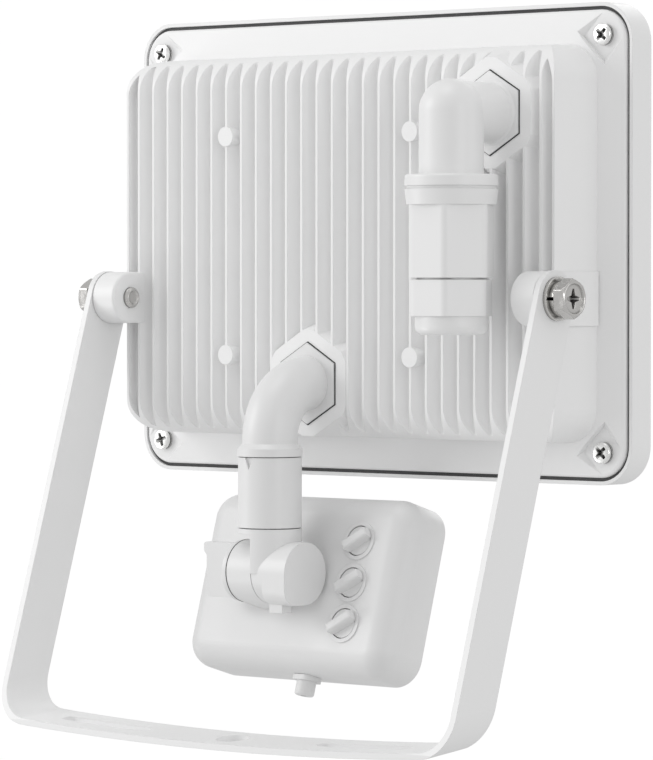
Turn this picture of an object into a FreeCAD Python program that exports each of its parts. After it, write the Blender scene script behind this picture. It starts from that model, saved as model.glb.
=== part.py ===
import FreeCAD, Part
import math
import os

# Motion sensor floodlight: a finned die-cast lamp on a bent-strip bracket, with a
# passive infrared sensor head on an elbow below it and a cable connector behind it.
# Millimetres. X runs to the lamp's left as seen from its back, Y from front to back, Z up.
# The pieces are drawn about the middle of the front frame's back edge. At the end they
# are moved so that the origin is the bracket's centre hole, on its mounting face.

# Front frame, glass and gasket
FRAME_WIDTH = 244.0
FRAME_HEIGHT = 177.0
FRAME_DEPTH = 12.0
FRAME_WALL = 1.4
FRAME_LIP_THICK = 1.2
FRAME_CORNER_R = 14.5
FRAME_FRONT_R = 1.0
LIP_OVER_GLASS = 5.0
GLASS_MARGIN = 10.0
GLASS_THICK = 4.0
GLASS_CORNER_R = 20.0
SEAL_GAP = 1.3
SEAL_SET_BACK = 1.2
GASKET_UNDER_GLASS = 5.0
PART_CLEARANCE = 0.3

# Housing: flange, finned block and cavity
FLANGE_FRONT_Y = -3.0
FLANGE_EDGE_Y = 0.8
FLANGE_EDGE_R = 1.2
FLANGE_RISE = 3.0
FLANGE_SLOPE_RUN = 11.0
BLOCK_SIDE_MARGIN = 13.4
BLOCK_END_MARGIN = 15.3
BLOCK_SIDE_DRAFT = 0.08
BLOCK_END_DRAFT = 0.03
BLOCK_CORNER_R = 12.5
SHOULDER_R = 12.5
FIN_TIP_Y = 26.3
FIN_PITCH = 7.7
FIN_TIP_WIDTH = 1.1
FIN_ROOT_WIDTH = 5.5
GROOVE_DEEP = 5.4
GROOVE_FLOOR_SAG = 0.6
GROOVE_END_MARGIN = 1.8
CAVITY_SIDE_WALL = 5.6
CAVITY_END_WALL = 5.7
CAVITY_CORNER_R = 8.0
CAVITY_FLOOR_Y = 16.5
POST_R = 3.8
POST_PROUD = 0.5
POST_FINS = (7, -5)
POST_Z = 42.0

# Screws of the frame, in diagonal pockets of the flange
FRAME_SCREW_INSET = 12.0
FRAME_BOSS_R = 4.0
SCREW_HEAD_R = 4.0
SCREW_HEAD_HIGH = 2.5
SCREW_R = 2.0
SCREW_LENGTH = 11.0
SCREW_POCKET_WIDTH = 13.0
SCREW_POCKET_FLARE = 1.4
SCREW_POCKET_INWARD = 7.0
SCREW_CROSS_LONG = 4.6
SCREW_CROSS_TURNS = (30, 45)
CROSS_WIDE = 0.9
CROSS_HEART_R = 1.0
CROSS_DEEP = 1.6

# Pivot: lugs, bolts and washers
PIVOT_Y = 32.5
PIVOT_Z = -20.0
LUG_R = 10.0
LUG_THICK = 10.8
LUG_PROUD = 0.9
LUG_EDGE_R = 1.0
ARM_GAP = 0.35
BOLT_R = 4.0
RUNNING_GAP = 0.05
BOLT_HEAD_FLATS = 13.0
BOLT_HEAD_HIGH = 5.0
BOLT_FACE_R = 5.3
BOLT_CHAMFER_SPREAD = 1.7
BOLT_CROSS_LONG = 5.3
BOLT_TIP_PROUD = 0.5
WASHER_R = 8.0
WASHER_THICK = 1.6
SPRING_WASHER_R = 6.4
SPRING_WASHER_THICK = 2.0
SPRING_WASHER_SLOT = 1.2
WASHER_HOLE_GAP = 0.3

# Bracket: one bent strip, its crossbar bowed and set askew to its arms
STRIP_THICK = 2.5
STRIP_WIDTH = 20.5
CROSSBAR_Y = 82.0
CROSSBAR_Z = -184.8
CROSSBAR_TILT = -5.5
CROSSBAR_BOW = 3.0
CROSSBAR_BOW_SPAN = 97.0
CROSSBAR_HALF_WIDE = 10.9
BEND_OUTER_R = 15.0
LEAN_START = 5.0
WALL_HOLE_R = 6.2
SLOT_INNER_X = 42.0
SLOT_OUTER_X = 86.0
SLOT_WIDTH = 5.8

# Bosses on the housing's back for the two elbows
BOSS_FLATS = 37.6
BOSS_ROUND_R = 20.5
BOSS_FLARE = 0.45
RECESS_DEEP = 3.0
HEX_FLATS = 26.8
HEX_GAP = 0.4
HEX_PROUD = 0.7
STUB_R = 8.0
STUB_BORE_R = 5.5
INNER_NUT_FLATS = 22.0
INNER_NUT_THICK = 3.4
O_RING_THICK = 1.6
O_RING_R = 10.6

# Sensor elbow, sleeve and swivel knuckle
SENSOR_X = 12.0
SENSOR_HEX_INSET = 15.1
SENSOR_AXIS_Y = 48.0
ELBOW_R = 10.4
ELBOW_BEND_R = 21.0
ELBOW_BORE_R = 8.0
ELBOW_FLARE_R = 12.3
ELBOW_FLARE_DROP = 22.2
ELBOW_END_DROP = 27.0
SWIVEL_GAP = 0.3
SWIVEL_SPIGOT_LONG = 9.0
SLEEVE_R = 12.0
SLEEVE_LONG = 26.7
SLEEVE_BORE_R = 5.5
NOTCH_HIGH = 4.5
NOTCH_WIDE = 4.0
NOTCH_DEEP = 0.9
NECK_RING_HIGH = 2.2
SEAM_GAP = 0.35
NECK_SPIGOT_R = 8.0
NECK_SPIGOT_LONG = 5.0
KNUCKLE_Y = 47.6
KNUCKLE_DROP = 16.9
KNUCKLE_R = 11.8
ARM_KNUCKLE_X = (-5.2, 11.4)
HEAD_KNUCKLE_LONG = 12.2
KNUCKLE_SPIGOT_R = 6.0
KNUCKLE_SPIGOT_LONG = 3.0
KNUCKLE_HEEL_R = 6.5
STOP_TAB_DROP = 2.8
STOP_TAB_X = (-0.4, 6.0)
STOP_TAB_Y = (49.8, 55.1)

# Sensor head
HEAD_SHIFT = -0.6
HEAD_WIDTH = 101.2
HEAD_HEIGHT = 68.6
HEAD_BACK = -13.0
HEAD_FRONT = -36.5
HEAD_CORNER_R = 10.5
HEAD_BACK_R = 9.0
HEAD_FRONT_R = 1.5
HEAD_WALL = 2.0
HEAD_TILT = 16.5
COVER_THICK = 2.4
COVER_SET_BACK = 0.6
COVER_GAP = 0.2
LENS_WIDTH = 58.0
LENS_HEIGHT = 40.0
LENS_BULGE = 15.0
LENS_WALL = 1.2
LENS_CORNER_R = 6.0
BEZEL_WIDE = 2.5
BEZEL_PROUD = 1.2
THUMB_SHANK_R = 2.5
THUMB_WASHER_R = 6.0
THUMB_WASHER_THICK = 1.0
THUMB_COLLAR_R = 11.5
THUMB_COLLAR_LONG = 2.4
THUMB_GRIP_LONG = 16.2
THUMB_GRIP_HALF = 10.4
THUMB_HOOK_LONG = 1.4
THUMB_HOOK_HIGH = 3.6
THUMB_GRIP_THICK = 4.0
THUMB_CORNER_R = 1.4
KNOB_ROWS = {"light_knob": 16.4, "time_knob": 0.3, "range_knob": -15.4}
KNOB_COLUMN = -28.6
KNOB_R = 5.5
KNOB_HOLE_GAP = 0.35
KNOB_RING_R = 7.4
KNOB_RING_PROUD = 0.5
KNOB_DISC_THICK = 2.2
KNOB_DISC_PROUD = 0.2
KNOB_GRIP_PROUD = 4.4
KNOB_GRIP_WIDE = 4.6
KNOB_GRIP_TOP_WIDE = 3.4
KNOB_GRIP_CREST = 0.9
KNOB_NOSE_LONG = 0.8
KNOB_GRIP_ANGLE = 32.0
KNOB_STEM_R = 1.5
VENT_X = -5.4
VENT_R = 3.75
VENT_LONG = 5.5
VENT_PLATE = 9.4
VENT_PLATE_R = 3.0
VENT_PLATE_THICK = 2.0
VENT_DEPTH = -25.0

# Sensor electronics
SENSOR_BOARD_N = -27.5
SENSOR_BOARD_THICK = 1.6
SENSOR_BOARD_WIDTH = 86.0
SENSOR_BOARD_HEIGHT = 56.0
PIR_CAN_R = 4.6
PIR_CAN_HIGH = 4.2
PIR_FLANGE_R = 5.2
POT_SIZE = 9.8
POT_HIGH = 5.0
RELAY_SIZE = (20.0, 15.4)
RELAY_HIGH = 10.6
CAPACITOR_R = 4.0
CAPACITOR_HIGH = 9.0
PHOTOCELL_R = 2.5
PHOTOCELL_HIGH = 6.6
PHOTOCELL_X = 38.0

# Cable elbow and connector
CABLE_SIDE_INSET = 31.9
CABLE_TOP_INSET = 25.2
CABLE_AXIS_Y = 48.7
CABLE_TUBE_R = 11.85
CABLE_FOOT_R = 11.1
CABLE_FOOT_RING_R = 12.1
CABLE_FOOT_RING_THICK = 0.8
CABLE_TUBE_DROP = 22.9
COLLAR_R = 17.0
COLLAR_LONG = 5.35
COLLAR_EDGE_R = 1.0
COLLAR_GROOVE_DEEP = 0.8
COLLAR_GROOVE_HIGH = 1.15
BODY_RING_R = 17.1
BODY_RING_END_R = 16.3
BODY_RING_HIGH = 5.7
BODY_LONG = 32.15
BODY_FLATS = 28.9
BODY_CORNER_R = 3.0
CONNECTOR_BORE_R = 10.0
GLAND_SEAM = 0.7
GLAND_NECK_R = 12.9
GLAND_NUT_LONG = 13.9
GLAND_NUT_FLATS = 27.8
GLAND_DOME_LONG = 6.8
GLAND_DOME_R = 13.2
GLAND_DOME_EDGE_R = 2.8
GLAND_CABLE_R = 4.5
GLAND_SEAL_R = 8.0
TERMINAL_BLOCK = (15.0, 10.0, 16.0)
TERMINAL_PITCH = 4.6

# Light source
LED_BOARD_SIDE_GAP = 5.0
LED_BOARD_HEIGHT = 66.0
LED_BOARD_THICK = 1.6
LED_COLUMNS = 12
LED_ROWS = 4
LED_PITCH = 13.0
LED_SIZE = 3.0
LED_HIGH = 0.8
DRIVER_CHIP_INSET = 4.0
DRIVER_CHIP_SIZE = (4.6, 6.0)
DRIVER_CHIP_HIGH = 2.2
DRIVER_CHIP_PITCH = 12.0
DRIVER_CHIP_ROWS = 5
BOARD_TERMINAL_SIZE = (5.0, 14.0)
BOARD_TERMINAL_HIGH = 2.6
BOARD_SCREW_INSET = 17.5
BOARD_SCREW_Z = 24.5
BOARD_SCREW_R = 1.4
BOARD_SCREW_LONG = 3.2
BOARD_SCREW_HEAD_R = 2.8
BOARD_SCREW_HEAD_HIGH = 1.6
BOARD_SCREW_GAP = 0.1
REFLECTOR_THICK = 1.0
REFLECTOR_MOUTH_INSET = 12.5
REFLECTOR_MOUTH_Z = 29.5
REFLECTOR_MOUTH_GAP = 0.3

FRAME_HALF_X = FRAME_WIDTH / 2
FRAME_HALF_Z = FRAME_HEIGHT / 2
RIM_INSIDE_X = FRAME_HALF_X - FRAME_WALL
RIM_INSIDE_Z = FRAME_HALF_Z - FRAME_WALL
RIM_INSIDE_R = FRAME_CORNER_R - FRAME_WALL
FRAME_SCREW_X = FRAME_HALF_X - FRAME_SCREW_INSET
FRAME_SCREW_Z = FRAME_HALF_Z - FRAME_SCREW_INSET
GLASS_HALF_X = FRAME_HALF_X - GLASS_MARGIN
GLASS_HALF_Z = FRAME_HALF_Z - GLASS_MARGIN
GLASS_BACK_Y = -FRAME_DEPTH + FRAME_LIP_THICK + GLASS_THICK
FLANGE_HALF_X = RIM_INSIDE_X - SEAL_GAP
FLANGE_HALF_Z = RIM_INSIDE_Z - SEAL_GAP
FLANGE_CORNER_R = RIM_INSIDE_R - SEAL_GAP
BLOCK_BASE_Y = FLANGE_EDGE_Y + FLANGE_RISE
BLOCK_HALF_X = FRAME_HALF_X - BLOCK_SIDE_MARGIN
BLOCK_HALF_Z = FRAME_HALF_Z - BLOCK_END_MARGIN
TIP_HALF_X = BLOCK_HALF_X - BLOCK_SIDE_DRAFT * (FIN_TIP_Y - FLANGE_EDGE_Y)
TIP_HALF_Z = BLOCK_HALF_Z - BLOCK_END_DRAFT * (FIN_TIP_Y - FLANGE_EDGE_Y)
GROOVE_PAIRS = round((BLOCK_HALF_X - FIN_TIP_WIDTH / 2) / FIN_PITCH)
CAVITY_HALF_X = BLOCK_HALF_X - CAVITY_SIDE_WALL
CAVITY_HALF_Z = BLOCK_HALF_Z - CAVITY_END_WALL
BOARD_HALF_X = CAVITY_HALF_X - LED_BOARD_SIDE_GAP
BOARD_FACE_Y = CAVITY_FLOOR_Y - LED_BOARD_THICK
BOARD_SCREW_X = BOARD_HALF_X - BOARD_SCREW_INSET
DRIVER_CHIP_X = BOARD_HALF_X - DRIVER_CHIP_INSET
REFLECTOR_MOUTH_X = BOARD_HALF_X - REFLECTOR_MOUTH_INSET
LUG_OUTER_X = BLOCK_HALF_X + LUG_PROUD
ARM_INNER_X = LUG_OUTER_X + ARM_GAP
ARM_OUTER_X = ARM_INNER_X + STRIP_THICK
RECESS_FLOOR_Y = FIN_TIP_Y - RECESS_DEEP
HEX_FACE_Y = FIN_TIP_Y + HEX_PROUD
SENSOR_HEX_Z = SENSOR_HEX_INSET - CAVITY_HALF_Z
ELBOW_FLARE_TOP_Z = SENSOR_HEX_Z - ELBOW_FLARE_DROP
ELBOW_END_Z = SENSOR_HEX_Z - ELBOW_END_DROP
SLEEVE_END_Z = ELBOW_END_Z - SLEEVE_LONG
KNUCKLE_Z = SLEEVE_END_Z - KNUCKLE_DROP
HEAD_X = SENSOR_X + HEAD_SHIFT
HEAD_KNUCKLE_X = ARM_KNUCKLE_X[1] + SWIVEL_GAP
HEAD_KNUCKLE_END_X = HEAD_KNUCKLE_X + HEAD_KNUCKLE_LONG
INSIDE_BACK = HEAD_BACK - HEAD_WALL
BOARD_BACK = SENSOR_BOARD_N + SENSOR_BOARD_THICK
COVER_BACK = HEAD_FRONT + COVER_SET_BACK + COVER_THICK
CABLE_X = CABLE_SIDE_INSET - BLOCK_HALF_X
CABLE_Z = BLOCK_HALF_Z - CABLE_TOP_INSET
CABLE_TUBE_END_Z = CABLE_Z - CABLE_TUBE_DROP
COLLAR_END_Z = CABLE_TUBE_END_Z - COLLAR_LONG
BODY_END_Z = COLLAR_END_Z - BODY_LONG
GLAND_NUT_END_Z = BODY_END_Z - GLAND_NUT_LONG
GLAND_DOME_END_Z = GLAND_NUT_END_Z - GLAND_DOME_LONG
X_AXIS = FreeCAD.Vector(1, 0, 0)
Y_AXIS = FreeCAD.Vector(0, 1, 0)
Z_AXIS = FreeCAD.Vector(0, 0, 1)


def at(x, y, z):
    return FreeCAD.Vector(x, y, z)


def block(x_span, y_span, z_span):
    """Box between two limits on each axis."""
    size = [max(span) - min(span) for span in (x_span, y_span, z_span)]
    corner = at(min(x_span), min(y_span), min(z_span))
    return Part.makeBox(size[0], size[1], size[2], corner)


def rod(radius, start, end):
    """Round bar from one point to another."""
    return Part.makeCylinder(radius, (end - start).Length, start, end - start)


def tube(outer_r, inner_r, start, end):
    """Ring or pipe from one point to another."""
    return rod(outer_r, start, end).cut(rod(inner_r, start, end))


def outline(half_x, half_z, radius, y):
    """Rounded rectangle that faces along Y, as a wire at depth y."""
    edges = []
    first = None
    last = None
    for quarter in range(4):
        side_x = 1 if quarter in (0, 3) else -1
        side_z = 1 if quarter < 2 else -1
        centre = at(side_x * (half_x - radius), y, side_z * (half_z - radius))
        arc = []
        for step in range(3):
            angle = math.radians(90 * quarter + 45 * step)
            arc.append(centre + at(radius * math.cos(angle), 0, radius * math.sin(angle)))
        if last is None:
            first = arc[0]
        else:
            edges.append(Part.makeLine(last, arc[0]))
        edges.append(Part.Arc(arc[0], arc[1], arc[2]).toShape())
        last = arc[2]
    edges.append(Part.makeLine(last, first))
    return Part.Wire(edges)


def plate(half_x, half_z, radius, front_y, back_y):
    """Rounded rectangular plate between two depths."""
    face = Part.Face(outline(half_x, half_z, radius, front_y))
    return face.extrude(at(0, back_y - front_y, 0))


def taper(front, back):
    """Solid between two rounded outlines, each given as outline()'s values."""
    return Part.makeLoft([outline(*front), outline(*back)], True, True)


def polygon(flats, sides, centre, direction, turn=0.0):
    """Regular polygon's wire across a direction, its size given across flats."""
    across = Z_AXIS if abs(direction.z) < 0.9 else X_AXIS
    other = direction.cross(across)
    radius = flats / 2 / math.cos(math.pi / sides)
    points = []
    for corner in range(sides + 1):
        angle = math.radians(turn) + 2 * math.pi * corner / sides
        points.append(centre + across * (radius * math.cos(angle)) + other * (radius * math.sin(angle)))
    return Part.makePolygon(points)


def polygon_bar(flats, sides, start, end, turn=0.0):
    """Regular prism from one point to another."""
    direction = (end - start).normalize()
    return Part.Face(polygon(flats, sides, start, direction, turn)).extrude(end - start)


def cross_recess(centre, outward, turn, long):
    """Cutter for a cross recess in a screw head, down from the head's face."""
    bars = Part.makeCylinder(CROSS_HEART_R, CROSS_DEEP + 1, at(0, 0, -CROSS_DEEP))
    for angle in (turn, turn + 90):
        bar = Part.makeBox(long, CROSS_WIDE, CROSS_DEEP + 1, at(-long / 2, -CROSS_WIDE / 2, -CROSS_DEEP))
        bar.rotate(at(0, 0, 0), Z_AXIS, angle)
        bars = bars.fuse(bar)
    bars.Placement = FreeCAD.Placement(centre, FreeCAD.Rotation(Z_AXIS, outward))
    return bars


def one_solid(shape):
    """The single solid of a fused or cut shape, with its coplanar faces joined."""
    return shape.removeSplitter().Solids[0]


def edges_at(shape, test):
    """Edges whose every vertex and middle point passes the test."""
    chosen = []
    for edge in shape.Edges:
        points = [vertex.Point for vertex in edge.Vertexes]
        middle = (edge.FirstParameter + edge.LastParameter) / 2
        points.append(edge.valueAt(middle))
        if all(test(point) for point in points):
            chosen.append(edge)
    return chosen


def edges_along(shape, direction):
    """Straight edges that run along a direction."""
    return [edge for edge in shape.Edges if abs(edge.tangentAt(edge.FirstParameter).dot(direction)) > 0.99]


def four_corners(x, z):
    return [(x, z), (-x, z), (-x, -z), (x, -z)]


# Bracket and the pivot's fasteners

def crossbar_frame():
    """Placement whose X, Y and Z are the crossbar's length, width and inward normal."""
    turn = FreeCAD.Rotation(X_AXIS, CROSSBAR_TILT)
    return FreeCAD.Placement(at(0, CROSSBAR_Y, CROSSBAR_Z), turn)


def strip_profile(outset):
    """Face of the bent strip's outline, filled up to its arms' tops, seen along its width."""
    bow_r = (CROSSBAR_BOW_SPAN ** 2 + CROSSBAR_BOW ** 2) / (2 * CROSSBAR_BOW)
    bow_centre_z = bow_r
    bend_x = ARM_OUTER_X - BEND_OUTER_R
    bend_z = bow_centre_z - math.sqrt((bow_r - BEND_OUTER_R) ** 2 - bend_x ** 2)
    bend_r = BEND_OUTER_R + outset
    low_r = bow_r + outset
    top_z = PIVOT_Z - CROSSBAR_Z + 4 * LUG_R
    side_x = ARM_OUTER_X + outset
    lean = math.atan2(bend_x, bow_centre_z - bend_z)
    touch = at(low_r * math.sin(lean), 0, bow_centre_z - low_r * math.cos(lean))
    half_turn = (lean + math.pi / 2) / 2
    knee = at(bend_x + bend_r * math.sin(half_turn), 0, bend_z - bend_r * math.cos(half_turn))
    elbow = at(side_x, 0, bend_z)
    lowest = at(0, 0, bow_centre_z - low_r)

    def opposite(point):
        return at(-point.x, point.y, point.z)

    edges = [
        Part.Arc(opposite(touch), lowest, touch).toShape(),
        Part.Arc(touch, knee, elbow).toShape(),
        Part.makeLine(elbow, at(side_x, 0, top_z)),
        Part.makeLine(at(side_x, 0, top_z), at(-side_x, 0, top_z)),
        Part.makeLine(at(-side_x, 0, top_z), opposite(elbow)),
        Part.Arc(opposite(elbow), opposite(knee), opposite(touch)).toShape(),
    ]
    return Part.Face(Part.Wire(edges))


def make_bracket():
    frame = crossbar_frame()
    pivot = frame.inverse().multVec(at(0, PIVOT_Y, PIVOT_Z))
    reach = abs(pivot.y) + 2 * STRIP_WIDTH
    sides = strip_profile(0)
    hollow = strip_profile(-STRIP_THICK)
    strip = sides.extrude(at(0, reach + STRIP_WIDTH, 0)).cut(hollow.extrude(at(0, reach + STRIP_WIDTH, 0)))
    strip.translate(at(0, -reach, 0))
    # The side view of the strip: a crossbar, then a leaning arm with a round top.
    lean = math.atan2(-pivot.y, pivot.z - LEAN_START)
    side_step = STRIP_WIDTH / 2 / math.cos(lean)
    along = at(0, math.cos(lean), math.sin(lean)) * (STRIP_WIDTH / 2)
    far_x = ARM_OUTER_X + STRIP_WIDTH
    corners = [
        at(-far_x, -CROSSBAR_HALF_WIDE, -STRIP_THICK),
        at(-far_x, CROSSBAR_HALF_WIDE, -STRIP_THICK),
        at(-far_x, side_step, LEAN_START),
        at(-far_x, pivot.y, pivot.z) + along,
        at(-far_x, pivot.y, pivot.z) - along,
        at(-far_x, -side_step, LEAN_START),
    ]
    corners.append(corners[0])
    side_view = Part.Face(Part.makePolygon(corners)).extrude(at(2 * far_x, 0, 0))
    top = rod(STRIP_WIDTH / 2, at(-far_x, pivot.y, pivot.z), at(far_x, pivot.y, pivot.z))
    strip = strip.common(side_view.fuse(top))
    bolt_hole = rod(BOLT_R + WASHER_HOLE_GAP, at(-far_x, pivot.y, pivot.z), at(far_x, pivot.y, pivot.z))
    holes = [bolt_hole, rod(WALL_HOLE_R, at(0, 0, -STRIP_WIDTH), at(0, 0, STRIP_WIDTH))]
    for side in (-1, 1):
        ends = [side * (SLOT_INNER_X + SLOT_WIDTH / 2), side * (SLOT_OUTER_X - SLOT_WIDTH / 2)]
        for x in ends:
            holes.append(rod(SLOT_WIDTH / 2, at(x, 0, -STRIP_WIDTH), at(x, 0, STRIP_WIDTH)))
        holes.append(block(ends, (-SLOT_WIDTH / 2, SLOT_WIDTH / 2), (-STRIP_WIDTH, STRIP_WIDTH)))
    strip = strip.cut(holes)
    strip.Placement = frame
    return one_solid(strip)


def pivot_point(x):
    return at(x, PIVOT_Y, PIVOT_Z)


def make_pivot_bolts():
    """Hexagon bolts through the arms into the lugs, with a cross recess in each head."""
    bolts = []
    head_x = ARM_OUTER_X + WASHER_THICK + SPRING_WASHER_THICK
    for side in (-1, 1):
        face = pivot_point(side * (head_x + BOLT_HEAD_HIGH))
        seat = pivot_point(side * head_x)
        head = polygon_bar(BOLT_HEAD_FLATS, 6, seat, face, 30)
        spread_r = BOLT_FACE_R + BOLT_CHAMFER_SPREAD * BOLT_HEAD_HIGH
        chamfer = Part.makeCone(spread_r, BOLT_FACE_R, BOLT_HEAD_HIGH, seat, face - seat)
        tip = pivot_point(side * (LUG_OUTER_X - LUG_THICK - BOLT_TIP_PROUD))
        bolt = head.common(chamfer).fuse(rod(BOLT_R, tip, seat))
        bolt = bolt.cut(cross_recess(face, at(side, 0, 0), 0, BOLT_CROSS_LONG))
        bolts.append(one_solid(bolt))
    return Part.makeCompound(bolts)


def make_flat_washers():
    washers = []
    for side in (-1, 1):
        inner = pivot_point(side * ARM_OUTER_X)
        outer = pivot_point(side * (ARM_OUTER_X + WASHER_THICK))
        washers.append(tube(WASHER_R, BOLT_R + WASHER_HOLE_GAP, inner, outer))
    return Part.makeCompound(washers)


def make_spring_washers():
    """Split rings between the flat washers and the bolt heads."""
    washers = []
    for side in (-1, 1):
        x = side * (ARM_OUTER_X + WASHER_THICK)
        inner = pivot_point(x)
        outer = pivot_point(x + side * SPRING_WASHER_THICK)
        ring = tube(SPRING_WASHER_R, BOLT_R + WASHER_HOLE_GAP, inner, outer)
        slot = block((inner.x, outer.x), (PIVOT_Y, PIVOT_Y + 2 * SPRING_WASHER_R),
                     (PIVOT_Z - SPRING_WASHER_SLOT / 2, PIVOT_Z + SPRING_WASHER_SLOT / 2))
        washers.append(one_solid(ring.cut(slot)))
    return Part.makeCompound(washers)


# Lamp housing

def block_outside():
    """Outside of the block, drafted on all sides and rounded at its four corners."""
    return taper((BLOCK_HALF_X, BLOCK_HALF_Z, BLOCK_CORNER_R, FLANGE_EDGE_Y),
                 (TIP_HALF_X, TIP_HALF_Z, BLOCK_CORNER_R, FIN_TIP_Y))


def fin_block():
    """Block with rounded shoulders above and below, cut by grooves that run out there."""
    sharp = []
    for half_z, y in ((BLOCK_HALF_Z, FLANGE_EDGE_Y), (TIP_HALF_Z, FIN_TIP_Y)):
        corners = [at(x, y, z) for x, z in four_corners(FRAME_HALF_X, half_z)]
        sharp.append(Part.makePolygon(corners + corners[:1]))
    body = Part.makeLoft(sharp, True, True)
    shoulders = edges_at(body, lambda p: p.y > FIN_TIP_Y - 0.1 and abs(p.z) > TIP_HALF_Z - 0.1)
    body = body.makeFillet(SHOULDER_R, shoulders).common(block_outside())
    half_top = (FIN_PITCH - FIN_TIP_WIDTH) / 2
    half_floor = (FIN_PITCH - FIN_ROOT_WIDTH) / 2
    floor_y = FIN_TIP_Y - GROOVE_DEEP
    flare = (half_top - half_floor) / (GROOVE_DEEP - GROOVE_FLOOR_SAG)
    low = -BLOCK_HALF_Z
    field = plate(TIP_HALF_X - FIN_TIP_WIDTH, TIP_HALF_Z - GROOVE_END_MARGIN, BLOCK_CORNER_R,
                  floor_y - 1, FIN_TIP_Y + 2)
    grooves = []
    for index in range(-GROOVE_PAIRS, GROOVE_PAIRS):
        x = (index + 0.5) * FIN_PITCH
        left = at(x - half_floor, floor_y + GROOVE_FLOOR_SAG, low)
        right = at(x + half_floor, floor_y + GROOVE_FLOOR_SAG, low)
        left_top = at(x - half_top - flare, FIN_TIP_Y + 1, low)
        right_top = at(x + half_top + flare, FIN_TIP_Y + 1, low)
        edges = [
            Part.Arc(left, at(x, floor_y, low), right).toShape(),
            Part.makeLine(right, right_top),
            Part.makeLine(right_top, left_top),
            Part.makeLine(left_top, left),
        ]
        groove = Part.Face(Part.Wire(edges)).extrude(at(0, 0, 2 * BLOCK_HALF_Z))
        grooves.append(groove.common(field))
    return body.cut(grooves)


def boss(x, z):
    """Six-sided boss with rounded corners that widens towards its root."""
    root = at(x, CAVITY_FLOOR_Y, z)
    face = at(x, FIN_TIP_Y, z)
    spread = BOSS_FLARE * (FIN_TIP_Y - CAVITY_FLOOR_Y)
    sides = Part.makeLoft([polygon(BOSS_FLATS + 2 * spread, 6, root, Y_AXIS),
                           polygon(BOSS_FLATS, 6, face, Y_AXIS)], True, True)
    corners = Part.makeCone(BOSS_ROUND_R + spread, BOSS_ROUND_R, face.y - root.y, root, Y_AXIS)
    return sides.common(corners).common(block_outside())


def boss_cuts(x, z):
    recess = polygon_bar(HEX_FLATS + 2 * HEX_GAP, 6, at(x, RECESS_FLOOR_Y, z), at(x, FIN_TIP_Y + 1, z), 0)
    hole = rod(STUB_R + WASHER_HOLE_GAP, at(x, 0, z), at(x, FIN_TIP_Y, z))
    return [recess, hole]


def screw_pocket(x, z):
    """Flat-floored slot with sloping sides that runs out of the flange past a frame screw."""
    reach = FRAME_HALF_X
    half = SCREW_POCKET_WIDTH / 2
    wide = half + SCREW_POCKET_FLARE * reach
    section = [at(-SCREW_POCKET_INWARD, FLANGE_EDGE_Y, -half), at(-SCREW_POCKET_INWARD, FLANGE_EDGE_Y, half)]
    section += [at(-SCREW_POCKET_INWARD, FLANGE_EDGE_Y + reach, wide)]
    section += [at(-SCREW_POCKET_INWARD, FLANGE_EDGE_Y + reach, -wide), section[0]]
    slot = Part.Face(Part.makePolygon(section)).extrude(at(SCREW_POCKET_INWARD + reach, 0, 0))
    diagonal = math.degrees(math.atan2(math.copysign(1, z), math.copysign(1, x)))
    slot.rotate(at(0, 0, 0), Y_AXIS, -diagonal)
    slot.translate(at(x, 0, z))
    return slot


def lug(side):
    """Ear on the housing's side that a pivot bolt screws into."""
    inner_x = side * (LUG_OUTER_X - LUG_THICK)
    outer_x = side * LUG_OUTER_X
    foot = block((inner_x, outer_x), (BLOCK_BASE_Y, PIVOT_Y), (PIVOT_Z - LUG_R, PIVOT_Z + LUG_R))
    ear = foot.fuse(rod(LUG_R, pivot_point(inner_x), pivot_point(outer_x))).removeSplitter()
    rims = edges_at(ear, lambda p: abs(p.x - inner_x) < 0.01 and p.y > BLOCK_BASE_Y + 1)
    return ear.makeFillet(LUG_EDGE_R, rims)


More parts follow.
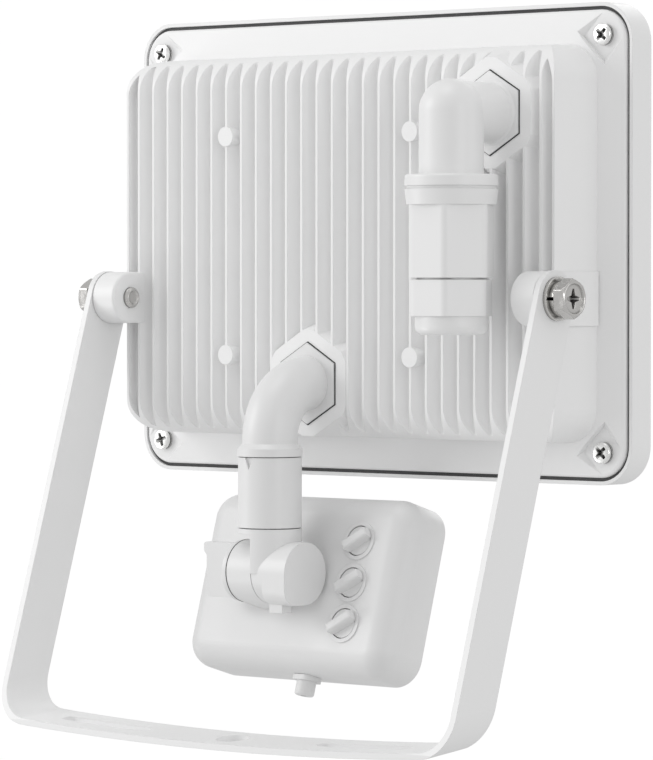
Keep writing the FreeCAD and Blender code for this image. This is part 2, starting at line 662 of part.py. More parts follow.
def make_housing():
    """Die casting: flange with sloping edge, finned block, lugs, posts, bosses and cavity."""
    lip_in = FLANGE_EDGE_R
    top_in = FLANGE_EDGE_R + FLANGE_SLOPE_RUN
    flange = plate(FLANGE_HALF_X, FLANGE_HALF_Z, FLANGE_CORNER_R, FLANGE_FRONT_Y, FLANGE_EDGE_Y)
    flange = flange.makeFillet(FLANGE_EDGE_R, edges_at(flange, lambda p: p.y > FLANGE_EDGE_Y - 0.01))
    slope = taper(
        (FLANGE_HALF_X - lip_in, FLANGE_HALF_Z - lip_in, FLANGE_CORNER_R - lip_in, FLANGE_EDGE_Y),
        (FLANGE_HALF_X - top_in, FLANGE_HALF_Z - top_in, FLANGE_CORNER_R - lip_in, BLOCK_BASE_Y))
    cavity = plate(CAVITY_HALF_X, CAVITY_HALF_Z, CAVITY_CORNER_R, FLANGE_FRONT_Y, CAVITY_FLOOR_Y)
    additions = [slope, fin_block(), boss(SENSOR_X, SENSOR_HEX_Z), boss(CABLE_X, CABLE_Z), lug(-1), lug(1)]
    for fin in POST_FINS:
        for z in (-POST_Z, POST_Z):
            x = fin * FIN_PITCH
            additions.append(rod(POST_R, at(x, CAVITY_FLOOR_Y, z), at(x, FIN_TIP_Y + POST_PROUD, z)))
    cuts = [cavity]
    cuts += boss_cuts(SENSOR_X, SENSOR_HEX_Z) + boss_cuts(CABLE_X, CABLE_Z)
    cuts.append(rod(BOLT_R + RUNNING_GAP, pivot_point(-FRAME_HALF_X), pivot_point(FRAME_HALF_X)))
    for x, z in four_corners(FRAME_SCREW_X, FRAME_SCREW_Z):
        cuts.append(screw_pocket(x, z))
        cuts.append(rod(SCREW_R + WASHER_HOLE_GAP, at(x, FLANGE_FRONT_Y, z), at(x, FLANGE_EDGE_Y + 1, z)))
    for x, z in four_corners(BOARD_SCREW_X, BOARD_SCREW_Z):
        depth = BOARD_SCREW_LONG - LED_BOARD_THICK + BOARD_SCREW_GAP
        mouth = at(x, CAVITY_FLOOR_Y, z)
        cuts.append(rod(BOARD_SCREW_R + BOARD_SCREW_GAP, mouth, mouth + at(0, depth, 0)))
    return one_solid(flange.fuse(additions).cut(cuts))


# Front frame, glass, gasket and screws

def make_front_frame():
    """Moulded frame: outer wall, a lip over the glass and a screw boss in each corner."""
    front_y = -FRAME_DEPTH
    body = plate(FRAME_HALF_X, FRAME_HALF_Z, FRAME_CORNER_R, front_y, 0)
    front_edges = edges_at(body, lambda p: p.y < front_y + 0.1)
    body = body.makeFillet(FRAME_FRONT_R, front_edges)
    inside = plate(RIM_INSIDE_X, RIM_INSIDE_Z, RIM_INSIDE_R, front_y + FRAME_LIP_THICK, 1)
    opening = plate(GLASS_HALF_X - LIP_OVER_GLASS, GLASS_HALF_Z - LIP_OVER_GLASS,
                    GLASS_CORNER_R - LIP_OVER_GLASS, front_y - 1, 0)
    body = body.cut([inside, opening])
    lip_y = front_y + FRAME_LIP_THICK
    bosses = []
    holes = []
    for x, z in four_corners(FRAME_SCREW_X, FRAME_SCREW_Z):
        bosses.append(rod(FRAME_BOSS_R, at(x, lip_y - FRAME_LIP_THICK / 2, z), at(x, FLANGE_FRONT_Y, z)))
        holes.append(rod(SCREW_R, at(x, lip_y, z), at(x, FLANGE_FRONT_Y, z)))
    return one_solid(body.fuse(bosses).cut(holes))


def make_front_glass():
    return plate(GLASS_HALF_X, GLASS_HALF_Z, GLASS_CORNER_R, GLASS_BACK_Y - GLASS_THICK, GLASS_BACK_Y)


def make_frame_gasket():
    """Rubber ring that backs the glass, with a lip that fills the gap round the flange."""
    bed = plate(RIM_INSIDE_X, RIM_INSIDE_Z, RIM_INSIDE_R, GLASS_BACK_Y, FLANGE_FRONT_Y)
    inside_x = GLASS_HALF_X - GASKET_UNDER_GLASS
    inside_z = GLASS_HALF_Z - GASKET_UNDER_GLASS
    hole = plate(inside_x, inside_z, GLASS_CORNER_R - GASKET_UNDER_GLASS, GLASS_BACK_Y, FLANGE_FRONT_Y)
    lip = plate(RIM_INSIDE_X, RIM_INSIDE_Z, RIM_INSIDE_R, FLANGE_FRONT_Y, -SEAL_SET_BACK)
    lip = lip.cut(plate(FLANGE_HALF_X, FLANGE_HALF_Z, FLANGE_CORNER_R, FLANGE_FRONT_Y, -SEAL_SET_BACK))
    cuts = [hole]
    for x, z in four_corners(FRAME_SCREW_X, FRAME_SCREW_Z):
        reach = FRAME_BOSS_R + PART_CLEARANCE
        cuts.append(rod(reach, at(x, GLASS_BACK_Y, z), at(x, FLANGE_FRONT_Y, z)))
    return one_solid(bed.cut(cuts).fuse(lip))


def make_frame_screws():
    """Pan-head screws through the flange into the frame's bosses."""
    screws = []
    for index, (x, z) in enumerate(four_corners(FRAME_SCREW_X, FRAME_SCREW_Z)):
        seat = at(x, FLANGE_EDGE_Y, z)
        top = at(x, FLANGE_EDGE_Y + SCREW_HEAD_HIGH, z)
        head = rod(SCREW_HEAD_R, seat, top)
        head = head.makeFillet(SCREW_HEAD_HIGH * 0.5, edges_at(head, lambda p: p.y > top.y - 0.01))
        shank = rod(SCREW_R, at(x, FLANGE_EDGE_Y - SCREW_LENGTH, z), seat)
        turn = SCREW_CROSS_TURNS[index % 2]
        screw = head.fuse(shank).cut(cross_recess(top, Y_AXIS, turn, SCREW_CROSS_LONG))
        screws.append(one_solid(screw))
    return Part.makeCompound(screws)


# Light source inside the lamp

def make_led_board():
    board = block((-BOARD_HALF_X, BOARD_HALF_X), (BOARD_FACE_Y, CAVITY_FLOOR_Y),
                  (-LED_BOARD_HEIGHT / 2, LED_BOARD_HEIGHT / 2))
    holes = []
    for x, z in four_corners(BOARD_SCREW_X, BOARD_SCREW_Z):
        holes.append(rod(BOARD_SCREW_R + BOARD_SCREW_GAP, at(x, BOARD_FACE_Y, z), at(x, CAVITY_FLOOR_Y, z)))
    return board.cut(holes)


def make_led_chips():
    chips = []
    half = LED_SIZE / 2
    y_span = (BOARD_FACE_Y - LED_HIGH, BOARD_FACE_Y)
    for column in range(LED_COLUMNS):
        for row in range(LED_ROWS):
            x = (column - (LED_COLUMNS - 1) / 2) * LED_PITCH
            z = (row - (LED_ROWS - 1) / 2) * LED_PITCH
            chips.append(block((x - half, x + half), y_span, (z - half, z + half)))
    return Part.makeCompound(chips)


def make_driver_chips():
    """Rectifier and current regulators in a row at the board's end, behind the reflector."""
    chips = []
    wide, tall = DRIVER_CHIP_SIZE
    y_span = (BOARD_FACE_Y - DRIVER_CHIP_HIGH, BOARD_FACE_Y)
    for row in range(DRIVER_CHIP_ROWS):
        z = (row - (DRIVER_CHIP_ROWS - 1) / 2) * DRIVER_CHIP_PITCH
        x_span = (DRIVER_CHIP_X - wide / 2, DRIVER_CHIP_X + wide / 2)
        chips.append(block(x_span, y_span, (z - tall / 2, z + tall / 2)))
    return Part.makeCompound(chips)


def make_board_terminal():
    """Wire terminal at the board's other end, nearest to the cable's way in."""
    wide, tall = BOARD_TERMINAL_SIZE
    x_span = (-DRIVER_CHIP_X - wide / 2, -DRIVER_CHIP_X + wide / 2)
    return block(x_span, (BOARD_FACE_Y - BOARD_TERMINAL_HIGH, BOARD_FACE_Y), (-tall / 2, tall / 2))


def make_board_screws():
    screws = []
    for x, z in four_corners(BOARD_SCREW_X, BOARD_SCREW_Z):
        seat = at(x, BOARD_FACE_Y, z)
        head = rod(BOARD_SCREW_HEAD_R, at(x, BOARD_FACE_Y - BOARD_SCREW_HEAD_HIGH, z), seat)
        shank = rod(BOARD_SCREW_R, seat, at(x, BOARD_FACE_Y + BOARD_SCREW_LONG, z))
        screws.append(one_solid(head.fuse(shank)))
    return Part.makeCompound(screws)


def make_reflector():
    """White tray that slopes from round the light-emitting board to the glass's edge."""
    mouth_y = BOARD_FACE_Y - REFLECTOR_MOUTH_GAP
    wide_x = CAVITY_HALF_X - PART_CLEARANCE
    wide_z = CAVITY_HALF_Z - PART_CLEARANCE
    wide_r = CAVITY_CORNER_R - PART_CLEARANCE
    thick = REFLECTOR_THICK
    back = taper((wide_x, wide_z, wide_r, FLANGE_FRONT_Y),
                 (REFLECTOR_MOUTH_X + thick, REFLECTOR_MOUTH_Z + thick, wide_r, mouth_y))
    front = taper((wide_x - thick, wide_z - thick, wide_r - thick, FLANGE_FRONT_Y - thick),
                  (REFLECTOR_MOUTH_X, REFLECTOR_MOUTH_Z, wide_r - thick, mouth_y))
    rim_x = GLASS_HALF_X - GASKET_UNDER_GLASS - PART_CLEARANCE
    rim_z = GLASS_HALF_Z - GASKET_UNDER_GLASS - PART_CLEARANCE
    rim = plate(rim_x, rim_z, GLASS_CORNER_R - GASKET_UNDER_GLASS, FLANGE_FRONT_Y - thick, FLANGE_FRONT_Y)
    return one_solid(back.fuse(rim).cut(front))


# Sensor elbow and cable elbow

def elbow_foot(x, z):
    """Six-sided foot in a boss's recess, with a threaded stub into the housing."""
    foot_start = at(x, RECESS_FLOOR_Y + O_RING_THICK / 2, z)
    foot = polygon_bar(HEX_FLATS, 6, foot_start, at(x, HEX_FACE_Y, z), 0)
    stub = rod(STUB_R, at(x, CAVITY_FLOOR_Y - INNER_NUT_THICK, z), foot_start)
    return foot.fuse(stub)


def quarter_bend(radius, start, end):
    """Round bar bent through a right angle from running along Y to running down."""
    along = ELBOW_BEND_R * math.sqrt(0.5)
    middle = at(start.x, start.y + along, start.z - ELBOW_BEND_R + along)
    path = Part.Wire([Part.Arc(start, middle, end).toShape()])
    ring = Part.Wire([Part.makeCircle(radius, start, Y_AXIS)])
    return path.makePipeShell([ring], True, False)


def make_sensor_elbow():
    """Pipe out of a six-sided foot, round a bend and down to a flared socket."""
    x = SENSOR_X
    axis_y = SENSOR_AXIS_Y
    turn = at(x, axis_y - ELBOW_BEND_R, SENSOR_HEX_Z)
    drop = at(x, axis_y, SENSOR_HEX_Z - ELBOW_BEND_R)
    mouth = at(x, axis_y, ELBOW_END_Z)
    outside = [quarter_bend(ELBOW_R, turn, drop), rod(ELBOW_R, drop, mouth)]
    outside.append(rod(ELBOW_R, at(x, RECESS_FLOOR_Y + O_RING_THICK, SENSOR_HEX_Z), turn))
    flare_mid = ELBOW_FLARE_TOP_Z - (ELBOW_FLARE_R - ELBOW_R)
    cone = Part.makeCone(ELBOW_FLARE_R, ELBOW_R, ELBOW_FLARE_R - ELBOW_R, at(x, axis_y, flare_mid))
    outside += [cone, rod(ELBOW_FLARE_R, mouth, at(x, axis_y, flare_mid))]
    body = elbow_foot(x, SENSOR_HEX_Z).fuse(outside)
    socket_top = ELBOW_END_Z + SWIVEL_SPIGOT_LONG + SWIVEL_GAP
    socket = rod(ELBOW_BORE_R, mouth, at(x, axis_y, socket_top))
    bore_start = at(x, CAVITY_FLOOR_Y - INNER_NUT_THICK, SENSOR_HEX_Z)
    bore = [rod(STUB_BORE_R, bore_start, turn), quarter_bend(STUB_BORE_R, turn, drop)]
    bore.append(rod(STUB_BORE_R, drop, mouth))
    return one_solid(body.cut([socket] + bore))


def make_cable_elbow():
    """Two pipes that meet square in a ball corner, with a ring against the foot's face."""
    x = CABLE_X
    corner = at(x, CABLE_AXIS_Y, CABLE_Z)
    end = at(x, CABLE_AXIS_Y, CABLE_TUBE_END_Z)
    ring_start = at(x, HEX_FACE_Y, CABLE_Z)
    outside = [
        rod(CABLE_FOOT_R, at(x, RECESS_FLOOR_Y + O_RING_THICK, CABLE_Z), corner),
        Part.makeCone(CABLE_FOOT_RING_R, CABLE_FOOT_R, CABLE_FOOT_RING_THICK, ring_start, Y_AXIS),
        Part.makeSphere(CABLE_TUBE_R, corner),
        rod(CABLE_TUBE_R, corner, end),
    ]
    body = elbow_foot(x, CABLE_Z).fuse(outside)
    bore_start = at(x, CAVITY_FLOOR_Y - INNER_NUT_THICK, CABLE_Z)
    bore = [rod(STUB_BORE_R, bore_start, corner), rod(STUB_BORE_R, corner, end)]
    bore.append(Part.makeSphere(STUB_BORE_R, corner))
    return one_solid(body.cut(bore))


def make_inner_nut(x, z):
    start = at(x, CAVITY_FLOOR_Y - INNER_NUT_THICK, z)
    end = at(x, CAVITY_FLOOR_Y, z)
    return polygon_bar(INNER_NUT_FLATS, 6, start, end).cut(rod(STUB_R, start, end))


def make_o_ring(x, z):
    """Flat rubber ring between an elbow's foot and the floor of its recess."""
    start = at(x, RECESS_FLOOR_Y, z)
    return tube(O_RING_R, STUB_R, start, at(x, RECESS_FLOOR_Y + O_RING_THICK / 2, z))


# Cable connector

def connector_point(z):
    return at(CABLE_X, CABLE_AXIS_Y, z)


def make_connector_collar():
    """Clamping ring round the pipe's end, with a groove where it meets the body."""
    top = connector_point(CABLE_TUBE_END_Z)
    groove_top = connector_point(COLLAR_END_Z + COLLAR_GROOVE_HIGH)
    end = connector_point(COLLAR_END_Z)
    ring = rod(COLLAR_R, groove_top, top)
    ring = ring.makeFillet(COLLAR_EDGE_R, edges_at(ring, lambda p: p.z > top.z - 0.01))
    neck = rod(COLLAR_R - COLLAR_GROOVE_DEEP, end, groove_top)
    return one_solid(ring.fuse(neck).cut(rod(STUB_BORE_R, end, top)))


def rounded_hexagon(flats, low_z, high_z):
    """Upright hexagonal bar about the connector's axis, one flat to the back, corners rounded."""
    bar = polygon_bar(flats, 6, connector_point(low_z), connector_point(high_z))
    return bar.makeFillet(BODY_CORNER_R, edges_along(bar, Z_AXIS))


def make_connector_body():
    """Six-sided body under a round ring, bored for the terminals."""
    ring_end_z = COLLAR_END_Z - BODY_RING_HIGH
    ring = Part.makeCone(BODY_RING_END_R, BODY_RING_R, BODY_RING_HIGH, connector_point(ring_end_z))
    body = rounded_hexagon(BODY_FLATS, BODY_END_Z, ring_end_z).fuse(ring)
    bore = rod(CONNECTOR_BORE_R, connector_point(BODY_END_Z), connector_point(COLLAR_END_Z))
    return one_solid(body.cut(bore))


def make_connector_nut():
    """Six-sided gland nut under a narrow seam, with a domed end and a bore for the cable."""
    top = connector_point(BODY_END_Z)
    seam_end = connector_point(BODY_END_Z - GLAND_SEAM)
    neck = rod(GLAND_NECK_R, seam_end, top)
    body = rounded_hexagon(GLAND_NUT_FLATS, GLAND_NUT_END_Z, seam_end.z)
    dome = rod(GLAND_DOME_R, connector_point(GLAND_DOME_END_Z), connector_point(GLAND_NUT_END_Z))
    dome = dome.makeFillet(GLAND_DOME_EDGE_R, edges_at(dome, lambda p: p.z < GLAND_DOME_END_Z + 0.01))
    bore = rod(GLAND_SEAL_R, connector_point(GLAND_DOME_END_Z), top)
    return one_solid(body.fuse([neck, dome]).cut(bore))


def make_connector_seal():
    end = connector_point(GLAND_DOME_END_Z + 0.6)
    return tube(GLAND_SEAL_R, GLAND_CABLE_R, end, connector_point(BODY_END_Z))


def make_terminal_block():
    """Three-way screw terminal block that stands on the gland's seal inside the connector."""
    wide, deep, high = TERMINAL_BLOCK
    x_span = (CABLE_X - wide / 2, CABLE_X + wide / 2)
    y_span = (CABLE_AXIS_Y - deep / 2, CABLE_AXIS_Y + deep / 2)
    body = block(x_span, y_span, (BODY_END_Z, BODY_END_Z + high))
    cuts = []
    for index in (-1, 0, 1):
        x = CABLE_X + index * TERMINAL_PITCH
        wire_way = at(x, CABLE_AXIS_Y, BODY_END_Z)
        cuts.append(rod(TERMINAL_PITCH * 0.32, wire_way, wire_way + at(0, 0, high)))
    return body.cut(cuts)


# Sensor arm

def sensor_axis(z):
    return at(SENSOR_X, SENSOR_AXIS_Y, z)


def make_sensor_sleeve():
    """Sleeve that turns in the elbow's socket, with a triangular mark at its top edge."""
    top = ELBOW_END_Z - SWIVEL_GAP
    body = rod(SLEEVE_R, sensor_axis(SLEEVE_END_Z), sensor_axis(top))
    spigot_r = ELBOW_BORE_R - RUNNING_GAP
    body = body.fuse(rod(spigot_r, sensor_axis(top), sensor_axis(top + SWIVEL_SPIGOT_LONG)))
    mark = [
        at(SENSOR_X - NOTCH_WIDE / 2, 0, top),
        at(SENSOR_X + NOTCH_WIDE / 2, 0, top),
        at(SENSOR_X, 0, top - NOTCH_HIGH),
    ]
    mark.append(mark[0])
    notch = Part.Face(Part.makePolygon(mark)).extrude(at(0, SLEEVE_R, 0))
    notch.translate(at(0, SENSOR_AXIS_Y + SLEEVE_R - NOTCH_DEEP, 0))
    bore = rod(SLEEVE_BORE_R, sensor_axis(SLEEVE_END_Z), sensor_axis(top + SWIVEL_SPIGOT_LONG))
    neck_socket = rod(NECK_SPIGOT_R, sensor_axis(SLEEVE_END_Z), sensor_axis(SLEEVE_END_Z + NECK_SPIGOT_LONG))
    return one_solid(body.cut([notch, bore, neck_socket]))


def knuckle_point(x):
    return at(x, KNUCKLE_Y, KNUCKLE_Z)


def make_swivel_knuckle():
    """Neck whose outer half is cut away, and the horizontal knuckle that it ends in."""
    ring_top = SLEEVE_END_Z - SEAM_GAP
    ring_end = SLEEVE_END_Z - NECK_RING_HIGH
    inner_x, outer_x = ARM_KNUCKLE_X
    ring = rod(SLEEVE_R, sensor_axis(ring_end), sensor_axis(ring_top))
    neck = rod(SLEEVE_R, sensor_axis(KNUCKLE_Z), sensor_axis(ring_end))
    keep = block((SENSOR_X - 2 * SLEEVE_R, outer_x), (0, 2 * SENSOR_AXIS_Y), (KNUCKLE_Z - 1, ring_end))
    neck = neck.common(keep)
    knuckle = rod(KNUCKLE_R, knuckle_point(inner_x), knuckle_point(outer_x))
    top_spigot = rod(NECK_SPIGOT_R, sensor_axis(ring_top), sensor_axis(SLEEVE_END_Z + NECK_SPIGOT_LONG))
    side_spigot = rod(KNUCKLE_SPIGOT_R, knuckle_point(outer_x), knuckle_point(outer_x + KNUCKLE_SPIGOT_LONG))
    low_z = KNUCKLE_Z - KNUCKLE_R
    heel = block((inner_x, STOP_TAB_X[1]), (KNUCKLE_Y, KNUCKLE_Y + KNUCKLE_R), (low_z, KNUCKLE_Z))
    corner = edges_at(heel, lambda p: p.y > KNUCKLE_Y + KNUCKLE_R - 0.01 and p.z < low_z + 0.01)
    heel = heel.makeFillet(KNUCKLE_HEEL_R, corner)
    tab = block(STOP_TAB_X, STOP_TAB_Y, (low_z - STOP_TAB_DROP, KNUCKLE_Z))
    body = ring.fuse([neck, knuckle, heel, top_spigot, side_spigot, tab])
    wire_way = rod(SLEEVE_BORE_R, sensor_axis(ring_end - 2), sensor_axis(SLEEVE_END_Z + NECK_SPIGOT_LONG))
    thread = rod(THUMB_SHANK_R + RUNNING_GAP, knuckle_point(inner_x + 3), knuckle_point(outer_x + 4))
    return one_solid(body.cut([wire_way, thread]))


# Sensor head, drawn level about the knuckle's axis and then tilted to its rest position

def tilted(shape):
    """Put a piece of the head in place: Y is the depth and Z the height of the level head."""
    shape.rotate(at(0, 0, 0), X_AXIS, HEAD_TILT)
    shape.translate(at(HEAD_X, KNUCKLE_Y, KNUCKLE_Z))
    return shape


def make_sensor_rear_case():
    """Deep moulded case with soft back edges, knuckle web, knob rings and an open front."""
    half_x = HEAD_WIDTH / 2
    half_z = HEAD_HEIGHT / 2
    body = plate(half_x, half_z, HEAD_CORNER_R, HEAD_FRONT, HEAD_BACK)
    body = body.makeFillet(HEAD_BACK_R, edges_at(body, lambda p: p.y > HEAD_BACK - 0.01))
    body = body.makeFillet(HEAD_FRONT_R, edges_at(body, lambda p: p.y < HEAD_FRONT + 0.01))
    inside = plate(half_x - HEAD_WALL, half_z - HEAD_WALL, HEAD_CORNER_R - HEAD_WALL,
                   HEAD_FRONT - 1, INSIDE_BACK)
    inside = inside.makeFillet(HEAD_BACK_R - HEAD_WALL, edges_at(inside, lambda p: p.y > INSIDE_BACK - 0.01))
    start_x = HEAD_KNUCKLE_X - HEAD_X
    end_x = HEAD_KNUCKLE_END_X - HEAD_X
    web = block((start_x, end_x), (HEAD_BACK - HEAD_WALL / 2, 0), (-KNUCKLE_R, KNUCKLE_R))
    knuckle = rod(KNUCKLE_R, at(start_x, 0, 0), at(end_x, 0, 0))
    additions = [web, knuckle]
    cuts = []
    for z in KNOB_ROWS.values():
        back = at(KNOB_COLUMN, HEAD_BACK + KNOB_RING_PROUD, z)
        additions.append(rod(KNOB_RING_R, at(KNOB_COLUMN, HEAD_BACK - HEAD_WALL / 2, z), back))
        cuts.append(rod(KNOB_R + KNOB_HOLE_GAP, at(KNOB_COLUMN, INSIDE_BACK - 1, z), back))
    bore_r = THUMB_SHANK_R + RUNNING_GAP
    cuts.append(rod(bore_r, at(start_x, 0, 0), at(end_x, 0, 0)))
    spigot_end = at(start_x + KNUCKLE_SPIGOT_LONG, 0, 0)
    cuts.append(rod(KNUCKLE_SPIGOT_R + RUNNING_GAP, at(start_x, 0, 0), spigot_end))
    cuts.append(rod(THUMB_WASHER_R, at(end_x - THUMB_WASHER_THICK, 0, 0), at(end_x, 0, 0)))
    body = body.cut(inside).fuse(additions).cut(cuts)
    return tilted(one_solid(body))


def make_sensor_cover():
    """Front plate in the case's mouth, with a raised bezel round the lens."""
    half_x = HEAD_WIDTH / 2 - HEAD_WALL - COVER_GAP
    half_z = HEAD_HEIGHT / 2 - HEAD_WALL - COVER_GAP
    front = HEAD_FRONT + COVER_SET_BACK
    body = plate(half_x, half_z, HEAD_CORNER_R - HEAD_WALL - COVER_GAP, front, COVER_BACK)
    bezel_x = LENS_WIDTH / 2 + BEZEL_WIDE
    bezel_z = LENS_HEIGHT / 2 + BEZEL_WIDE
    bezel = plate(bezel_x, bezel_z, LENS_CORNER_R + BEZEL_WIDE, front - BEZEL_PROUD, front)
    hole = plate(LENS_WIDTH / 2 + COVER_GAP, LENS_HEIGHT / 2 + COVER_GAP, LENS_CORNER_R,
                 front - BEZEL_PROUD, COVER_BACK)
    photocell = rod(PHOTOCELL_R + COVER_GAP, at(PHOTOCELL_X, front, 0), at(PHOTOCELL_X, COVER_BACK, 0))
    return tilted(one_solid(body.fuse(bezel).cut([hole, photocell])))


def make_sensor_lens():
    """Thin bulging lens: a barrel-shaped shell with a foot behind the cover."""
    front = HEAD_FRONT + COVER_SET_BACK
    half_x = LENS_WIDTH / 2
    half_z = LENS_HEIGHT / 2
    shells = []
    for inset in (0, LENS_WALL):
        depth = LENS_BULGE - inset
        sweep_r = ((half_x - inset) ** 2 + depth ** 2) / (2 * depth)
        centre = at(0, front - depth + sweep_r, -half_z + inset)
        barrel = Part.makeCylinder(sweep_r, 2 * (half_z - inset), centre, Z_AXIS)
        far_y = front - 2 * LENS_BULGE
        keep = plate(half_x - inset, half_z - inset, LENS_CORNER_R - inset, far_y, COVER_BACK)
        shells.append(barrel.common(keep))
    foot = plate(half_x + BEZEL_WIDE, half_z + BEZEL_WIDE, LENS_CORNER_R + BEZEL_WIDE, COVER_BACK,
                 COVER_BACK + LENS_WALL)
    window = plate(half_x - LENS_WALL, half_z - LENS_WALL, LENS_CORNER_R - LENS_WALL, COVER_BACK,
                   COVER_BACK + LENS_WALL)
    return tilted(one_solid(shells[0].cut(shells[1]).fuse(foot).cut(window)))


def make_sensor_board():
    half_x = SENSOR_BOARD_WIDTH / 2
    half_z = SENSOR_BOARD_HEIGHT / 2
    return tilted(plate(half_x, half_z, HEAD_CORNER_R - HEAD_WALL, SENSOR_BOARD_N, BOARD_BACK))


def make_pir_detector():
    """Metal can of the infrared detector, on the board's front behind the lens."""
    flange_y = SENSOR_BOARD_N - 0.6
    flange = rod(PIR_FLANGE_R, at(0, SENSOR_BOARD_N, 0), at(0, flange_y, 0))
    can = rod(PIR_CAN_R, at(0, flange_y, 0), at(0, flange_y - PIR_CAN_HIGH, 0))
    return tilted(one_solid(flange.fuse(can)))


def make_photocell():
    start = at(PHOTOCELL_X, SENSOR_BOARD_N, 0)
    return tilted(rod(PHOTOCELL_R, start, start - at(0, PHOTOCELL_HIGH, 0)))


def make_relay():
    wide, tall = RELAY_SIZE
    body = block((8, 8 + wide), (BOARD_BACK, BOARD_BACK + RELAY_HIGH), (10, 10 + tall))
    return tilted(body)


def make_capacitors():
    cans = []
    for x in (-6.0, 6.0):
        cans.append(rod(CAPACITOR_R, at(x, BOARD_BACK, -18), at(x, BOARD_BACK + CAPACITOR_HIGH, -18)))
    return tilted(Part.makeCompound(cans))


def make_potentiometers():
    """Three trimmers on the board that the knobs' stems turn in."""
    bodies = []
    half = POT_SIZE / 2
    for z in KNOB_ROWS.values():
        body = block((KNOB_COLUMN - half, KNOB_COLUMN + half), (BOARD_BACK, BOARD_BACK + POT_HIGH),
                     (z - half, z + half))
        bore = rod(KNOB_STEM_R + RUNNING_GAP, at(KNOB_COLUMN, BOARD_BACK + 1, z),
                   at(KNOB_COLUMN, BOARD_BACK + POT_HIGH, z))
        bodies.append(body.cut(bore))
    return tilted(Part.makeCompound(bodies))


def make_knob(z):
    """Round knob with a tall diagonal grip ridge, its crest rounded, and a pointing nose."""
    face = HEAD_BACK + KNOB_DISC_PROUD
    disc = rod(KNOB_R, at(0, face - KNOB_DISC_THICK, 0), at(0, face, 0))
    top = HEAD_BACK + KNOB_GRIP_PROUD
    half = KNOB_GRIP_WIDE / 2
    half_top = KNOB_GRIP_TOP_WIDE / 2
    foot = face - KNOB_DISC_THICK / 2
    reach = KNOB_R + KNOB_NOSE_LONG
    section = [at(-reach, foot, -half), at(-reach, foot, half), at(-reach, top, half_top)]
    section += [at(-reach, top, -half_top), section[0]]
    ridge = Part.Face(Part.makePolygon(section)).extrude(at(reach + KNOB_R, 0, 0))
    ridge = ridge.makeFillet(KNOB_GRIP_CREST, edges_at(ridge, lambda p: p.y > top - 0.01))
    low = rod(KNOB_R, at(0, foot, 0), at(0, HEAD_BACK + 2 * KNOB_RING_PROUD, 0))
    high = rod(reach, at(0, HEAD_BACK + 2 * KNOB_RING_PROUD, 0), at(0, top, 0))
    ridge = ridge.common(low.fuse(high))
    stem = rod(KNOB_STEM_R, at(0, BOARD_BACK + 1.3, 0), at(0, face - KNOB_DISC_THICK, 0))
    knob = disc.fuse([ridge, stem])
    knob.rotate(at(0, 0, 0), Y_AXIS, KNOB_GRIP_ANGLE)
    knob = one_solid(knob)
    knob.translate(at(KNOB_COLUMN, 0, z))
    return tilted(knob)


def make_drain_vent():
    """Breather under the case: a foot with rounded corners and a short round nozzle."""
    bottom = -HEAD_HEIGHT / 2
    half = VENT_PLATE / 2
    foot = block((VENT_X - half, VENT_X + half), (VENT_DEPTH - half, VENT_DEPTH + half),
                 (bottom - VENT_PLATE_THICK, bottom))
    foot = foot.makeFillet(VENT_PLATE_R, edges_along(foot, Z_AXIS))
    start = at(VENT_X, VENT_DEPTH, bottom - VENT_PLATE_THICK)
    end = start - at(0, 0, VENT_LONG)
    nozzle = rod(VENT_R, start, end)
    nozzle = nozzle.makeFillet(1.0, edges_at(nozzle, lambda p: p.z < end.z + 0.01))
    hole = rod(VENT_R / 3, end, end + at(0, 0, VENT_LONG))
    return tilted(one_solid(foot.fuse(nozzle).cut(hole)))


def make_thumb_washer():
    """Steel washer let into the end of the head's knuckle, under the screw's collar."""
    start = knuckle_point(HEAD_KNUCKLE_END_X - THUMB_WASHER_THICK)
    end = knuckle_point(HEAD_KNUCKLE_END_X)
    return tube(THUMB_WASHER_R, THUMB_SHANK_R + RUNNING_GAP, start, end)


def make_tilt_thumbscrew():
    """Clamping screw through the head's knuckle, with a flat grip to turn it by."""
    seat_x = HEAD_KNUCKLE_END_X + SWIVEL_GAP
    collar_x = seat_x + THUMB_COLLAR_LONG
    end_x = collar_x + THUMB_GRIP_LONG
    shank = rod(THUMB_SHANK_R, knuckle_point(ARM_KNUCKLE_X[0] + 4), knuckle_point(seat_x))
    collar = rod(THUMB_COLLAR_R, knuckle_point(seat_x), knuckle_point(collar_x))
    half = THUMB_GRIP_THICK / 2
    top_z = THUMB_GRIP_HALF
    hook_x = end_x + THUMB_HOOK_LONG
    profile = [(collar_x - 1, top_z), (hook_x, top_z), (hook_x, top_z - THUMB_HOOK_HIGH)]
    profile += [(end_x, top_z - THUMB_HOOK_HIGH - THUMB_HOOK_LONG), (end_x, -top_z), (collar_x - 1, -top_z)]
    points = [at(x, KNUCKLE_Y - half, KNUCKLE_Z + z) for x, z in profile]
    grip = Part.Face(Part.makePolygon(points + points[:1])).extrude(at(0, THUMB_GRIP_THICK, 0))
    corners = [edge for edge in edges_along(grip, Y_AXIS) if edge.Vertexes[0].X > end_x - 0.01]
    grip = grip.makeFillet(THUMB_CORNER_R, corners)
    return one_solid(shank.fuse([collar, grip]))


